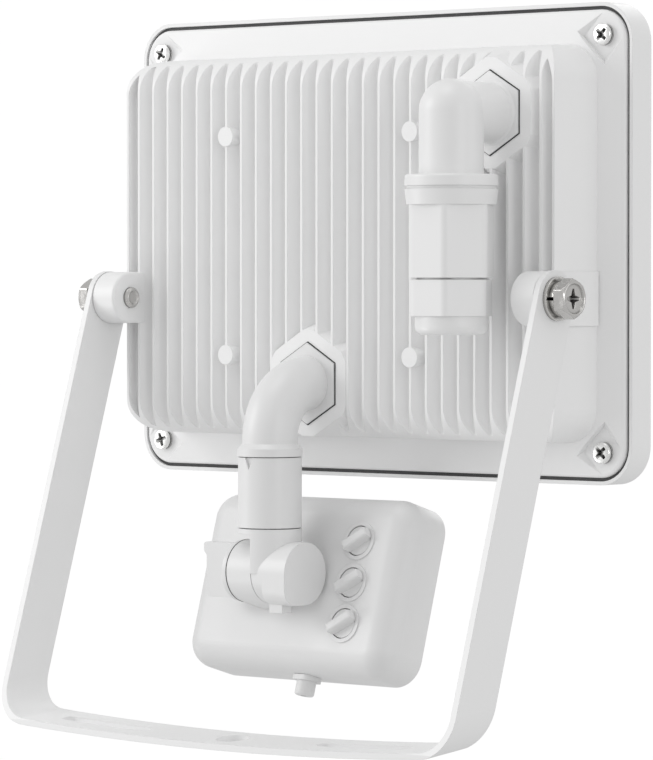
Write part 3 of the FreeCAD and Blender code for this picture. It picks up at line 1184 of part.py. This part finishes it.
PARTS = {
    "bracket": make_bracket(),
    "pivot_bolts": make_pivot_bolts(),
    "flat_washers": make_flat_washers(),
    "spring_washers": make_spring_washers(),
    "housing": make_housing(),
    "front_frame": make_front_frame(),
    "front_glass": make_front_glass(),
    "frame_gasket": make_frame_gasket(),
    "frame_screws": make_frame_screws(),
    "led_board": make_led_board(),
    "led_chips": make_led_chips(),
    "driver_chips": make_driver_chips(),
    "board_terminal": make_board_terminal(),
    "board_screws": make_board_screws(),
    "reflector": make_reflector(),
    "sensor_elbow": make_sensor_elbow(),
    "sensor_elbow_nut": make_inner_nut(SENSOR_X, SENSOR_HEX_Z),
    "sensor_elbow_seal": make_o_ring(SENSOR_X, SENSOR_HEX_Z),
    "cable_elbow": make_cable_elbow(),
    "cable_elbow_nut": make_inner_nut(CABLE_X, CABLE_Z),
    "cable_elbow_seal": make_o_ring(CABLE_X, CABLE_Z),
    "connector_collar": make_connector_collar(),
    "connector_body": make_connector_body(),
    "connector_nut": make_connector_nut(),
    "connector_seal": make_connector_seal(),
    "terminal_block": make_terminal_block(),
    "sensor_sleeve": make_sensor_sleeve(),
    "swivel_knuckle": make_swivel_knuckle(),
    "sensor_rear_case": make_sensor_rear_case(),
    "sensor_cover": make_sensor_cover(),
    "sensor_lens": make_sensor_lens(),
    "sensor_board": make_sensor_board(),
    "pir_detector": make_pir_detector(),
    "photocell": make_photocell(),
    "relay": make_relay(),
    "capacitors": make_capacitors(),
    "potentiometers": make_potentiometers(),
    "drain_vent": make_drain_vent(),
    "thumb_washer": make_thumb_washer(),
    "tilt_thumbscrew": make_tilt_thumbscrew(),
}
for knob_name, knob_z in KNOB_ROWS.items():
    PARTS[knob_name] = make_knob(knob_z)

os.makedirs("parts", exist_ok=True)
for name, shape in PARTS.items():
    shape.translate(at(0, -CROSSBAR_Y, -CROSSBAR_Z))
    shape.exportStep("parts/" + name + ".step")
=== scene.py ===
import math

import bmesh
import bpy
from mathutils import Matrix, Vector


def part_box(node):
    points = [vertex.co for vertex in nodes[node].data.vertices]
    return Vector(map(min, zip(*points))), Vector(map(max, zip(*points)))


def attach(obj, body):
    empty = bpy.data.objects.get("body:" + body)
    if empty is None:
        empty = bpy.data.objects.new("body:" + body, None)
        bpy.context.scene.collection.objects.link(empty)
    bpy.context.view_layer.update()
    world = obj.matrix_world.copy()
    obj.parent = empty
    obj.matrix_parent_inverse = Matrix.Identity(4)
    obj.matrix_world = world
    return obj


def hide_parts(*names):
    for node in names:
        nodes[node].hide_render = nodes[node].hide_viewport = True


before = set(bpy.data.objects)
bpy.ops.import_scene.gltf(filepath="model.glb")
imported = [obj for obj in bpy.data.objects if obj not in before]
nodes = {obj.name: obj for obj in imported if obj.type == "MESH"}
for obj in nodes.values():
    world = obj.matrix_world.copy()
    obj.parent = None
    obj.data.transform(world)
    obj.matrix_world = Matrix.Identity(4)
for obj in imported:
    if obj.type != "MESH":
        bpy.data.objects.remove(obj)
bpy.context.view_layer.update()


# Bracket
# One strip of 2.5 mm steel, pierced with a middle hole and two long slots, bent to a U and
# powder coated satin white. It holds the whole lamp, by two bolts at its arms' round tops.

def new_material(name, colour, roughness):
    """Principled material and its node tree, ready for more nodes."""
    material = bpy.data.materials.new(name)
    material.use_nodes = True
    tree = material.node_tree
    shader = tree.nodes["Principled BSDF"]
    shader.inputs["Base Color"].default_value = (*colour, 1)
    shader.inputs["Roughness"].default_value = roughness
    return material, tree, shader


def add_noise(tree, grain_mm, detail=3.0):
    """Noise in the piece's own space, its blobs about grain_mm across."""
    own_space = tree.nodes.new("ShaderNodeTexCoord")
    noise = tree.nodes.new("ShaderNodeTexNoise")
    noise.inputs["Scale"].default_value = 1000 / grain_mm
    noise.inputs["Detail"].default_value = detail
    tree.links.new(own_space.outputs["Object"], noise.inputs["Vector"])
    return noise


def add_bump(tree, shader, pattern, height_mm, edge_mm=0.25):
    """Small relief on the shader from a pattern, and edges softly broken by edge_mm."""
    broken_edges = tree.nodes.new("ShaderNodeBevel")
    broken_edges.samples = 6
    broken_edges.inputs["Radius"].default_value = edge_mm / 1000
    bump = tree.nodes.new("ShaderNodeBump")
    bump.inputs["Strength"].default_value = 1.0
    bump.inputs["Distance"].default_value = height_mm / 1000
    tree.links.new(broken_edges.outputs["Normal"], bump.inputs["Normal"])
    tree.links.new(pattern.outputs["Fac"], bump.inputs["Height"])
    tree.links.new(bump.outputs["Normal"], shader.inputs["Normal"])


def vary_gloss(tree, shader, noise, smoothest, roughest):
    """Let a noise move the shader's roughness between two values."""
    spread = tree.nodes.new("ShaderNodeMapRange")
    spread.inputs["From Min"].default_value = 0.3
    spread.inputs["From Max"].default_value = 0.7
    spread.inputs["To Min"].default_value = smoothest
    spread.inputs["To Max"].default_value = roughest
    tree.links.new(noise.outputs["Fac"], spread.inputs["Value"])
    tree.links.new(spread.outputs["Result"], shader.inputs["Roughness"])


def blend_colour(tree, shader, blend, dark, light):
    """Blend two colours into the base colour, by a socket that runs from 0 to 1."""
    mix = tree.nodes.new("ShaderNodeMix")
    mix.data_type = "RGBA"
    mix.inputs["A"].default_value = (*dark, 1)
    mix.inputs["B"].default_value = (*light, 1)
    tree.links.new(blend, mix.inputs["Factor"])
    tree.links.new(mix.outputs["Result"], shader.inputs["Base Color"])


def drift(tree, shader, colour, roughness, cloud_mm):
    """Slow drift of tone and gloss, in clouds about cloud_mm across."""
    cloud = add_noise(tree, cloud_mm, detail=2.0)
    darker = [c * 0.985 for c in colour]
    lighter = [min(1, c * 1.01) for c in colour]
    blend_colour(tree, shader, cloud.outputs["Fac"], darker, lighter)
    vary_gloss(tree, shader, cloud, roughness - 0.03, roughness + 0.04)


def powder_coat(name, colour, roughness, peel_mm, peel_high_mm):
    """Satin powder coat: faint orange peel, a slow drift of tone and of gloss."""
    material, tree, shader = new_material(name, colour, roughness)
    peel = add_noise(tree, peel_mm)
    add_bump(tree, shader, peel, peel_high_mm)
    drift(tree, shader, colour, roughness, cloud_mm=60.0)
    return material


def finish_node(name, material):
    """Give a carried-over piece its material."""
    piece = nodes[name]
    piece.data.materials.clear()
    piece.data.materials.append(material)
    return piece


bracket_paint = powder_coat(
    "bracket powder coat",
    (0.86, 0.86, 0.86),
    roughness=0.36,
    peel_mm=0.9,
    peel_high_mm=0.012,
)
finish_node("bracket", bracket_paint)


# Pivot bolts and washers
# Two M8 hexagon bolts of bright zinc-plated steel with dished, cross-recessed heads, each on a
# split spring washer and a flat washer. They are screwed through the arms into the lugs.

def zinc_plate(name, colour, roughness, edge_mm=0.15):
    """Bright plated steel: fine drawn grain, cloudy gloss, and painted shade that darkens its
    corners and recesses.
    """
    material, tree, shader = new_material(name, colour, roughness)
    shader.inputs["Metallic"].default_value = 1.0
    grain = add_noise(tree, grain_mm=0.35, detail=4.0)
    add_bump(tree, shader, grain, height_mm=0.003, edge_mm=edge_mm)
    cloud = add_noise(tree, grain_mm=3.0, detail=2.0)
    vary_gloss(tree, shader, cloud, roughness - 0.06, roughness + 0.1)
    # Painted shade: ambient occlusion darkens the base colour to near black in corners, recesses
    # and between parts.
    corners = tree.nodes.new("ShaderNodeAmbientOcclusion")
    corners.samples = 8
    corners.inputs["Distance"].default_value = 0.0022
    corner_shade = tree.nodes.new("ShaderNodeMapRange")
    corner_shade.inputs["From Min"].default_value = 0.25
    corner_shade.inputs["From Max"].default_value = 0.9
    tree.links.new(corners.outputs["AO"], corner_shade.inputs["Value"])
    corner_shade_colour = [c * 0.05 for c in colour]
    blend_colour(tree, shader, corner_shade.outputs["Result"], corner_shade_colour, colour)
    return material


def link_piece(name, shape, material):
    """Put a finished shape into the scene as a piece of one material."""
    mesh = bpy.data.meshes.new(name)
    shape.to_mesh(mesh)
    shape.free()
    mesh.materials.append(material)
    piece = bpy.data.objects.new(name, mesh)
    bpy.context.scene.collection.objects.link(piece)
    return piece


def ringed_piece(name, material, places, rings, steps=144, hollow=False):
    """Skin through rings about an axis, repeated at each place.

    A place is (seat, outward, first arm). A ring is (reach, height) in mm, each of them a
    number or a function of the turn. The two end rings are capped, or joined if hollow.
    """
    shape = bmesh.new()
    for seat, outward, first_arm in places:
        across = outward.cross(first_arm)
        loops = []
        for reach, height in rings:
            loop = []
            for step in range(steps):
                turn = 2 * math.pi * step / steps
                out = reach(turn) if callable(reach) else reach
                up = height(turn) if callable(height) else height
                spoke = first_arm * math.cos(turn) + across * math.sin(turn)
                loop.append(shape.verts.new(seat + (spoke * out + outward * up) / 1000))
            loops.append(loop)
        if hollow:
            loops.append(loops[0])
        for inner, outer in zip(loops, loops[1:]):
            for step in range(steps):
                after = (step + 1) % steps
                shape.faces.new((inner[step], outer[step], outer[after], inner[after]))
        if not hollow:
            shape.faces.new(loops[0])
            shape.faces.new(loops[-1])
    bmesh.ops.recalc_face_normals(shape, faces=shape.faces)
    return link_piece(name, shape, material)


def shade_rounds(piece):
    """Shade the gentle turns of a piece smooth and leave its edges sharp."""
    piece.data.shade_smooth()
    piece.data.set_sharp_from_angle(angle=math.radians(30))


def cross_reach(turn, arm_long, half_wide, taper):
    """How far a cross recess reaches at a turn from its first arm, in mm."""
    off_arm = abs((turn + math.pi / 4) % (math.pi / 2) - math.pi / 4)
    side = half_wide / (math.sin(off_arm) + taper * math.cos(off_arm))
    return min(side, arm_long / math.cos(off_arm))


bolt_head_high = 5.0
bolt_flats = 13.0
bolt_corner_r = 0.574 * bolt_flats
bolt_corner_turn = math.radians(-26.0)
bolt_foot_bevel = 0.2
bolt_face_r = 6.3
bolt_face_drop = 0.05
bolt_chamfer_slope = 0.8
bolt_rim_outer_r = 6.2
bolt_rim_inner_r = 5.75
bolt_rim_bevel_r = 5.5
bolt_rim_bevel_drop = 0.15
bolt_dish_r = 5.2
bolt_dish_deep = 0.8
bolt_dish_floor = bolt_head_high - bolt_dish_deep
bolt_cross_deep = 2.4
bolt_cross_floor_share = 0.6
bolt_shank_r = 4.0
bolt_shank_long = 19.0
bolt_tip_bevel = 0.9
bolt_dimple_outer_r = 2.7
bolt_dimple_inner_r = 2.1
bolt_dimple_deep = 0.5


def bolt_cross(turn):
    return cross_reach(turn, arm_long=3.7, half_wide=1.6, taper=0.3)


def bolt_cross_floor(turn):
    return bolt_cross_floor_share * bolt_cross(turn)


def bolt_hexagon(turn):
    """Reach of the bolt's hexagon, its corners slightly rounded."""
    off_flat = (turn - bolt_corner_turn) % (math.pi / 3) - math.pi / 6
    return min(bolt_flats / 2 / math.cos(off_flat), bolt_corner_r)


def bolt_hexagon_foot(turn):
    return bolt_hexagon(turn) - bolt_foot_bevel


def bolt_chamfer(turn):
    """Height at which the head's conical chamfer meets the hexagon."""
    face_high = bolt_head_high - bolt_face_drop
    return face_high - (bolt_hexagon(turn) - bolt_face_r) * bolt_chamfer_slope


bolt_rings = (
    (bolt_cross_floor, bolt_dish_floor - bolt_cross_deep),
    (bolt_cross, bolt_dish_floor),
    (bolt_dish_r, bolt_dish_floor),
    (bolt_rim_bevel_r, bolt_head_high - bolt_rim_bevel_drop),
    (bolt_rim_inner_r, bolt_head_high),
    (bolt_rim_outer_r, bolt_head_high),
    (bolt_hexagon, bolt_chamfer),
    (bolt_hexagon, bolt_foot_bevel),
    (bolt_hexagon_foot, 0.0),
    (bolt_shank_r, 0.0),
    (bolt_shank_r, bolt_tip_bevel - bolt_shank_long),
    (bolt_shank_r - bolt_tip_bevel, -bolt_shank_long),
    (bolt_dimple_outer_r, -bolt_shank_long),
    (bolt_dimple_inner_r, bolt_dimple_deep - bolt_shank_long),
)
bolts_low, bolts_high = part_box("pivot_bolts")
pivot = (bolts_low + bolts_high) / 2
bolt_places = []
for side, degrees in ((-1, 0), (1, -6)):
    bolt_turn = math.radians(degrees)
    head_foot = side * (bolts_high.x - bolt_head_high / 1000)
    bolt_seat = Vector((head_foot, pivot.y, pivot.z))
    bolt_arm = Vector((0, math.cos(bolt_turn), math.sin(bolt_turn)))
    bolt_places.append((bolt_seat, Vector((side, 0, 0)), bolt_arm))
bolt_zinc = zinc_plate("bright zinc", (0.64, 0.63, 0.615), roughness=0.2, edge_mm=0.45)
zinc_bolts = ringed_piece("zinc_bolts", bolt_zinc, bolt_places, bolt_rings)
shade_rounds(zinc_bolts)
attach(zinc_bolts, "bracket")
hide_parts("pivot_bolts")

washer_zinc = zinc_plate("washer zinc", (0.74, 0.73, 0.71), roughness=0.22, edge_mm=0.3)
finish_node("flat_washers", washer_zinc)
finish_node("spring_washers", washer_zinc)


# Housing
# Die-cast aluminium body with the upright fins, posts, bosses and pivot lugs in one piece,
# powder coated white. Its draft leaves the fins thin at their tips; every edge is softened.

housing_paint = powder_coat(
    "housing powder coat",
    (0.88, 0.88, 0.88),
    roughness=0.4,
    peel_mm=1.1,
    peel_high_mm=0.016,
)
finish_node("housing", housing_paint)


# Front frame, gasket and glass
# The frame is a thin white-coated shell with four screw bosses. It clamps the toughened
# glass on a dark silicone gasket, whose lip shows as a line round the housing's flange.

def rubber(name, colour, roughness):
    """Matt moulded rubber with a fine bloom."""
    material, tree, shader = new_material(name, colour, roughness)
    grain = add_noise(tree, grain_mm=0.4)
    add_bump(tree, shader, grain, height_mm=0.01)
    bloom = add_noise(tree, grain_mm=14.0, detail=2.0)
    bloomed = [c * 1.7 for c in colour]
    blend_colour(tree, shader, bloom.outputs["Fac"], colour, bloomed)
    vary_gloss(tree, shader, bloom, roughness - 0.06, roughness + 0.08)
    return material


def clear_glass(name):
    """Clear toughened glass with the faintest ripple."""
    material, tree, shader = new_material(name, (0.97, 0.99, 0.98), roughness=0.02)
    shader.inputs["Transmission Weight"].default_value = 1.0
    shader.inputs["IOR"].default_value = 1.5
    ripple = add_noise(tree, grain_mm=40.0, detail=1.0)
    add_bump(tree, shader, ripple, height_mm=0.01)
    return material


frame_paint = powder_coat(
    "frame powder coat",
    (0.86, 0.86, 0.86),
    roughness=0.38,
    peel_mm=1.0,
    peel_high_mm=0.012,
)
gasket_and_seam_shade_grey = rubber("dark grey silicone", (0.04, 0.04, 0.041), roughness=0.5)
seal_and_gap_shade_rubber = rubber("black rubber", (0.012, 0.012, 0.013), roughness=0.55)
finish_node("front_frame", frame_paint)
finish_node("frame_gasket", gasket_and_seam_shade_grey)
glass = finish_node("front_glass", clear_glass("toughened glass"))
glass.visible_shadow = False


# Frame screws
# Four pan-head screws with a cross recess and a pressed-on collar, bright zinc plated, driven
# from behind through the flange's diagonal pockets into the frame's bosses.

screw_head_high = 2.5
screw_head_r = 3.9
screw_brow_r = 3.6
screw_brow_drop = 0.15
screw_crown_r = 3.1
screw_shoulder_drop = 0.5
screw_cross_deep = 1.8
screw_cross_floor_share = 0.5
screw_head_foot = 1.05
screw_neck_r = 3.4
screw_neck_top = 0.95
screw_neck_foot = 0.75
screw_collar_r = 4.0
screw_collar_high = 0.65
screw_shank_r = 2.0
screw_shank_long = 8.5
screw_tip_bevel = 0.6


def screw_cross(turn):
    return cross_reach(turn, arm_long=2.75, half_wide=0.98, taper=0.13)


def screw_cross_floor(turn):
    return screw_cross_floor_share * screw_cross(turn)


screw_rings = (
    (screw_cross_floor, screw_head_high - screw_cross_deep),
    (screw_cross, screw_head_high),
    (screw_crown_r, screw_head_high),
    (screw_brow_r, screw_head_high - screw_brow_drop),
    (screw_head_r, screw_head_high - screw_shoulder_drop),
    (screw_head_r, screw_head_foot),
    (screw_neck_r, screw_neck_top),
    (screw_neck_r, screw_neck_foot),
    (screw_collar_r, screw_collar_high),
    (screw_collar_r, 0.0),
    (screw_shank_r, 0.0),
    (screw_shank_r, screw_tip_bevel - screw_shank_long),
    (screw_shank_r - screw_tip_bevel, -screw_shank_long),
)
screws_low, screws_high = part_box("frame_screws")
screw_seat_y = screws_high.y - screw_head_high / 1000
left_x = screws_high.x - screw_collar_r / 1000
right_x = screws_low.x + screw_collar_r / 1000
high_z = screws_high.z - screw_collar_r / 1000
low_z = screws_low.z + screw_collar_r / 1000
screw_places = []
for x, z, degrees in (
    (left_x, high_z, 60),
    (left_x, low_z, 18),
    (right_x, high_z, 47),
    (right_x, low_z, 44),
):
    screw_turn = math.radians(degrees)
    screw_seat = Vector((x, screw_seat_y, z))
    screw_arm = Vector((math.cos(screw_turn), 0, -math.sin(screw_turn)))
    screw_places.append((screw_seat, Vector((0, 1, 0)), screw_arm))
screw_zinc = zinc_plate("screw zinc", (0.93, 0.93, 0.92), roughness=0.28)
pan_screws = ringed_piece("pan_screws", screw_zinc, screw_places, screw_rings)
shade_rounds(pan_screws)
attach(pan_screws, "lamp")
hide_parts("frame_screws")


# Light source
# An aluminium board under white solder mask carries rows of yellow light-emitting packages
# and the driver's chips. A glossy white tray slopes from it to the glass.

def moulded_plastic(name, colour, roughness):
    """Moulded plastic: fine spark-eroded grain, slight drift of tone and gloss."""
    material, tree, shader = new_material(name, colour, roughness)
    grain = add_noise(tree, grain_mm=0.7)
    add_bump(tree, shader, grain, height_mm=0.006)
    drift(tree, shader, colour, roughness, cloud_mm=35.0)
    return material


finish_node("led_board", moulded_plastic("white solder mask", (0.86, 0.87, 0.87), roughness=0.3))
finish_node("led_chips", moulded_plastic("white package", (0.84, 0.85, 0.85), roughness=0.3))

chip_columns = 12
chip_rows = 4
chip_half = 0.0015
chips_low, chips_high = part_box("led_chips")
column_step = (chips_high.x - chips_low.x - 2 * chip_half) / (chip_columns - 1)
row_step = (chips_high.z - chips_low.z - 2 * chip_half) / (chip_rows - 1)
phosphor_places = []
for column in range(chip_columns):
    for row in range(chip_rows):
        phosphor_x = chips_low.x + chip_half + column_step * column
        phosphor_z = chips_low.z + chip_half + row_step * row
        phosphor_seat = Vector((phosphor_x, chips_low.y, phosphor_z))
        phosphor_places.append((phosphor_seat, Vector((0, -1, 0)), Vector((1, 0, 0))))
phosphor_dome = ((0.3, 0.13), (0.8, 0.11), (1.1, 0.06), (1.2, -0.05))
phosphor_yellow = moulded_plastic("yellow phosphor", (0.86, 0.66, 0.14), roughness=0.3)
phosphors = ringed_piece("phosphors", phosphor_yellow, phosphor_places, phosphor_dome, steps=24)
shade_rounds(phosphors)
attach(phosphors, "lamp")

finish_node("driver_chips", moulded_plastic("black epoxy", (0.02, 0.02, 0.022), roughness=0.45))
finish_node("board_terminal", moulded_plastic("terminal nylon", (0.8, 0.81, 0.8), roughness=0.35))
finish_node("board_screws", screw_zinc)
finish_node("reflector", moulded_plastic("tray plastic", (0.86, 0.87, 0.87), roughness=0.18))


# Cable elbow and connector
# White plastic elbow with a grooved collar, a six-sided body with terminals and a domed gland
# nut below it. Like the sensor's elbow it stands in a boss of the housing on a six-sided foot.
# A thin strip of black rubber round each foot rises into the narrow gap. It is partly the seal
# and partly painted shade for the gap.

connector_plastic = moulded_plastic("connector plastic", (0.83, 0.83, 0.83), roughness=0.34)
for piece_name in ("cable_elbow", "connector_collar", "connector_body", "connector_nut"):
    finish_node(piece_name, connector_plastic)
finish_node("connector_seal", seal_and_gap_shade_rubber)
finish_node("cable_elbow_seal", seal_and_gap_shade_rubber)
nut_nylon = moulded_plastic("natural nylon", (0.74, 0.73, 0.69), roughness=0.4)
finish_node("cable_elbow_nut", nut_nylon)
block_nylon = moulded_plastic("terminal block nylon", (0.8, 0.81, 0.8), roughness=0.35)
finish_node("terminal_block", block_nylon)

# Partly painted shade: black strips round both elbows' feet fill the narrow gaps to near the
# surface. They are partly the real seal and partly the gap's shade.
strip_inner_flats = 26.9
strip_outer_flats = 27.5
strip_inner_r = strip_inner_flats / 2 / math.cos(math.pi / 6)
strip_outer_r = strip_outer_flats / 2 / math.cos(math.pi / 6)
strip_foot = 1.8
strip_top = 3.25
strip_rings = (
    (strip_inner_r, strip_foot),
    (strip_inner_r, strip_top),
    (strip_outer_r, strip_top),
    (strip_outer_r, strip_foot),
)
strip_places = []
for seal_name in ("cable_elbow_seal", "sensor_elbow_seal"):
    seal_low, seal_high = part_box(seal_name)
    seal_middle = (seal_low + seal_high) / 2
    strip_seat = Vector((seal_middle.x, seal_low.y, seal_middle.z))
    strip_places.append((strip_seat, Vector((0, 1, 0)), Vector((0, 0, 1))))
seal_and_gap_shade_strips = ringed_piece(
    "seal_and_gap_shade_strips", seal_and_gap_shade_rubber, strip_places, strip_rings, steps=6, hollow=True
)
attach(seal_and_gap_shade_strips, "lamp")


# Sensor elbow, sleeve and knuckle
# The same white plastic: an elbow that carries the sensor's wires down, a sleeve that
# swivels in its mouth, and the half neck with the arm's side of the tilting joint.

sensor_plastic = moulded_plastic("sensor plastic", (0.79, 0.79, 0.79), roughness=0.33)
for piece_name in ("sensor_elbow", "sensor_sleeve", "swivel_knuckle"):
    finish_node(piece_name, sensor_plastic)
finish_node("sensor_elbow_seal", seal_and_gap_shade_rubber)
finish_node("sensor_elbow_nut", nut_nylon)


# Sensor head
# Deep white case with its front cover, milky lens, electronics, drain vent, three knobs and
# the tilting joint's clamping screw. A thin dark grey ring under the screw's collar is painted
# shade for the seam between collar and knuckle.

def lens_plastic(name, colour, roughness):
    """Milky lens plastic, its inside moulded with a grid of square facets that shows through."""
    facet_wide = 0.0058
    facet_high = 0.0072
    groove_wide = 0.00022
    material, tree, shader = new_material(name, colour, roughness)
    lens_low, lens_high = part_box("sensor_lens")
    lens_middle = (lens_low + lens_high) / 2
    upright = math.radians(-90.0)
    own_space = tree.nodes.new("ShaderNodeTexCoord")
    level = tree.nodes.new("ShaderNodeMapping")
    level.inputs["Rotation"].default_value = (upright, 0, 0)
    level.inputs["Location"].default_value = -(Matrix.Rotation(upright, 3, "X") @ lens_middle)
    facets = tree.nodes.new("ShaderNodeTexBrick")
    facets.offset = 0.0
    facets.inputs["Scale"].default_value = 1.0
    facets.inputs["Mortar Size"].default_value = groove_wide
    facets.inputs["Mortar Smooth"].default_value = 0.6
    facets.inputs["Brick Width"].default_value = facet_wide
    facets.inputs["Row Height"].default_value = facet_high
    facets.inputs["Color1"].default_value = (*colour, 1)
    facets.inputs["Color2"].default_value = (*[c * 0.97 for c in colour], 1)
    facets.inputs["Mortar"].default_value = (*[c * 0.72 for c in colour], 1)
    tree.links.new(own_space.outputs["Object"], level.inputs["Vector"])
    tree.links.new(level.outputs["Vector"], facets.inputs["Vector"])
    tree.links.new(facets.outputs["Color"], shader.inputs["Base Color"])
    add_bump(tree, shader, facets, height_mm=-0.05)
    return material


case_plastic = moulded_plastic("case plastic", (0.79, 0.79, 0.79), roughness=0.36)
for piece_name in (
    "sensor_rear_case",
    "sensor_cover",
    "drain_vent",
    "tilt_thumbscrew",
    "light_knob",
    "time_knob",
    "range_knob",
):
    finish_node(piece_name, case_plastic)
finish_node("thumb_washer", washer_zinc)

# Painted shade: a thin dark grey ring under the collar darkens the seam between the collar and
# the knuckle.
ring_inner_r = 2.7
ring_outer_r = 11.92
ring_foot = 0.02
ring_top = 0.28
collar_seam_shade_rings = (
    (ring_inner_r, ring_foot),
    (ring_outer_r, ring_foot),
    (ring_outer_r, ring_top),
    (ring_inner_r, ring_top),
)
washer_low, washer_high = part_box("thumb_washer")
washer_middle = (washer_low + washer_high) / 2
ring_seat = Vector((washer_high.x, washer_middle.y, washer_middle.z))
ring_place = (ring_seat, Vector((1, 0, 0)), Vector((0, 1, 0)))
collar_seam_shade_ring = ringed_piece(
    "collar_seam_shade_ring", gasket_and_seam_shade_grey, [ring_place], collar_seam_shade_rings, steps=96, hollow=True
)
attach(collar_seam_shade_ring, "tilt_thumbscrew")

finish_node("sensor_lens", lens_plastic("milky lens", (0.83, 0.84, 0.84), roughness=0.28))
finish_node("sensor_board", moulded_plastic("green board", (0.03, 0.16, 0.07), roughness=0.35))
finish_node("pir_detector", zinc_plate("nickel can", (0.7, 0.69, 0.66), roughness=0.2))
finish_node("photocell", moulded_plastic("cell ceramic", (0.45, 0.14, 0.06), roughness=0.25))
finish_node("relay", moulded_plastic("relay cover", (0.03, 0.1, 0.32), roughness=0.3))
finish_node("capacitors", moulded_plastic("capacitor sleeve", (0.03, 0.03, 0.05), roughness=0.3))
finish_node("potentiometers", moulded_plastic("trimmer body", (0.05, 0.14, 0.36), roughness=0.35))


# Floor, backdrop and light
# A plain white floor well below the lamp inside a white dome that only the camera sees. Six
# soft lights stand round the lamp, the strongest of them behind it and to the picture's left.

def glowing_white(name, colour, glow):
    """White paint that also glows a little, so that the ground stays clean."""
    material, _, shader = new_material(name, colour, roughness=0.9)
    shader.inputs["Emission Color"].default_value = (1, 1, 1, 1)
    shader.inputs["Emission Strength"].default_value = glow
    return material


floor_drop = 1.5
floor_radius = 7.0
floor_white = glowing_white("floor white", (0.9, 0.9, 0.9), glow=0.5)
floor_shape = bmesh.new()
bmesh.ops.create_circle(floor_shape, cap_ends=True, segments=96, radius=floor_radius)
bmesh.ops.translate(floor_shape, verts=floor_shape.verts, vec=(0, 0, -floor_drop))
studio_floor = link_piece("studio_floor", floor_shape, floor_white)

dome_radius = 7.5
dome_white = glowing_white("dome white", (0.0, 0.0, 0.0), glow=1.0)
dome_shape = bmesh.new()
bmesh.ops.create_icosphere(dome_shape, subdivisions=4, radius=dome_radius)
studio_dome = link_piece("studio_dome", dome_shape, dome_white)

for ground in (studio_floor, studio_dome):
    ground.visible_diffuse = False
    ground.visible_glossy = False
    ground.visible_transmission = False
    ground.visible_shadow = False

world = bpy.data.worlds.new("studio")
world.use_nodes = True
background = world.node_tree.nodes["Background"]
background.inputs["Color"].default_value = (1.0, 1.0, 1.0, 1)
background.inputs["Strength"].default_value = 0.636
bpy.context.scene.world = world
bpy.context.scene.view_settings.view_transform = "Standard"

lamp_middle = Vector((0.0, -0.03, 0.14))


def soft_light(name, place, size, watts):
    """Square soft light at place, turned to the lamp's middle."""
    data = bpy.data.lights.new(name, "AREA")
    data.size = size
    data.energy = watts
    light = bpy.data.objects.new(name, data)
    light.location = place
    light.rotation_euler = (lamp_middle - Vector(place)).to_track_quat("-Z", "Y").to_euler()
    bpy.context.scene.collection.objects.link(light)


soft_light("left light", (1.66, 1.44, 0.9), size=1.2, watts=14.5)
soft_light("low light", (1.9, 1.1, -0.6), size=1.0, watts=9.0)
soft_light("right light", (-1.9, -0.9, 0.6), size=1.0, watts=2.5)
soft_light("side light", (-2.3, 0.6, 0.5), size=1.0, watts=5.8)
soft_light("top light", (0.1, 0.5, 2.5), size=1.2, watts=8.6)
soft_light("front light", (0.5, -2.2, 1.2), size=1.4, watts=9.0)


# Camera
# The photograph's own viewpoint: behind the lamp and to its right, level with its middle,
# from about 1.7 m through a long lens.

camera_place = Vector((-1.1143, 1.2306, 0.1706))
view_turn = math.radians(40.97)
view_dip = math.radians(1.237)
camera_data = bpy.data.cameras.new("camera")
camera_data.sensor_width = 36.0
camera_data.lens = 213.46
camera_data.clip_end = 50.0
camera = bpy.data.objects.new("camera", camera_data)
bpy.context.scene.collection.objects.link(camera)
level_sight = Vector((math.sin(view_turn), -math.cos(view_turn), 0.0))
sight = level_sight * math.cos(view_dip) - Vector((0.0, 0.0, math.sin(view_dip)))
camera.location = camera_place
camera.rotation_euler = sight.to_track_quat("-Z", "Y").to_euler()
bpy.context.scene.camera = camera
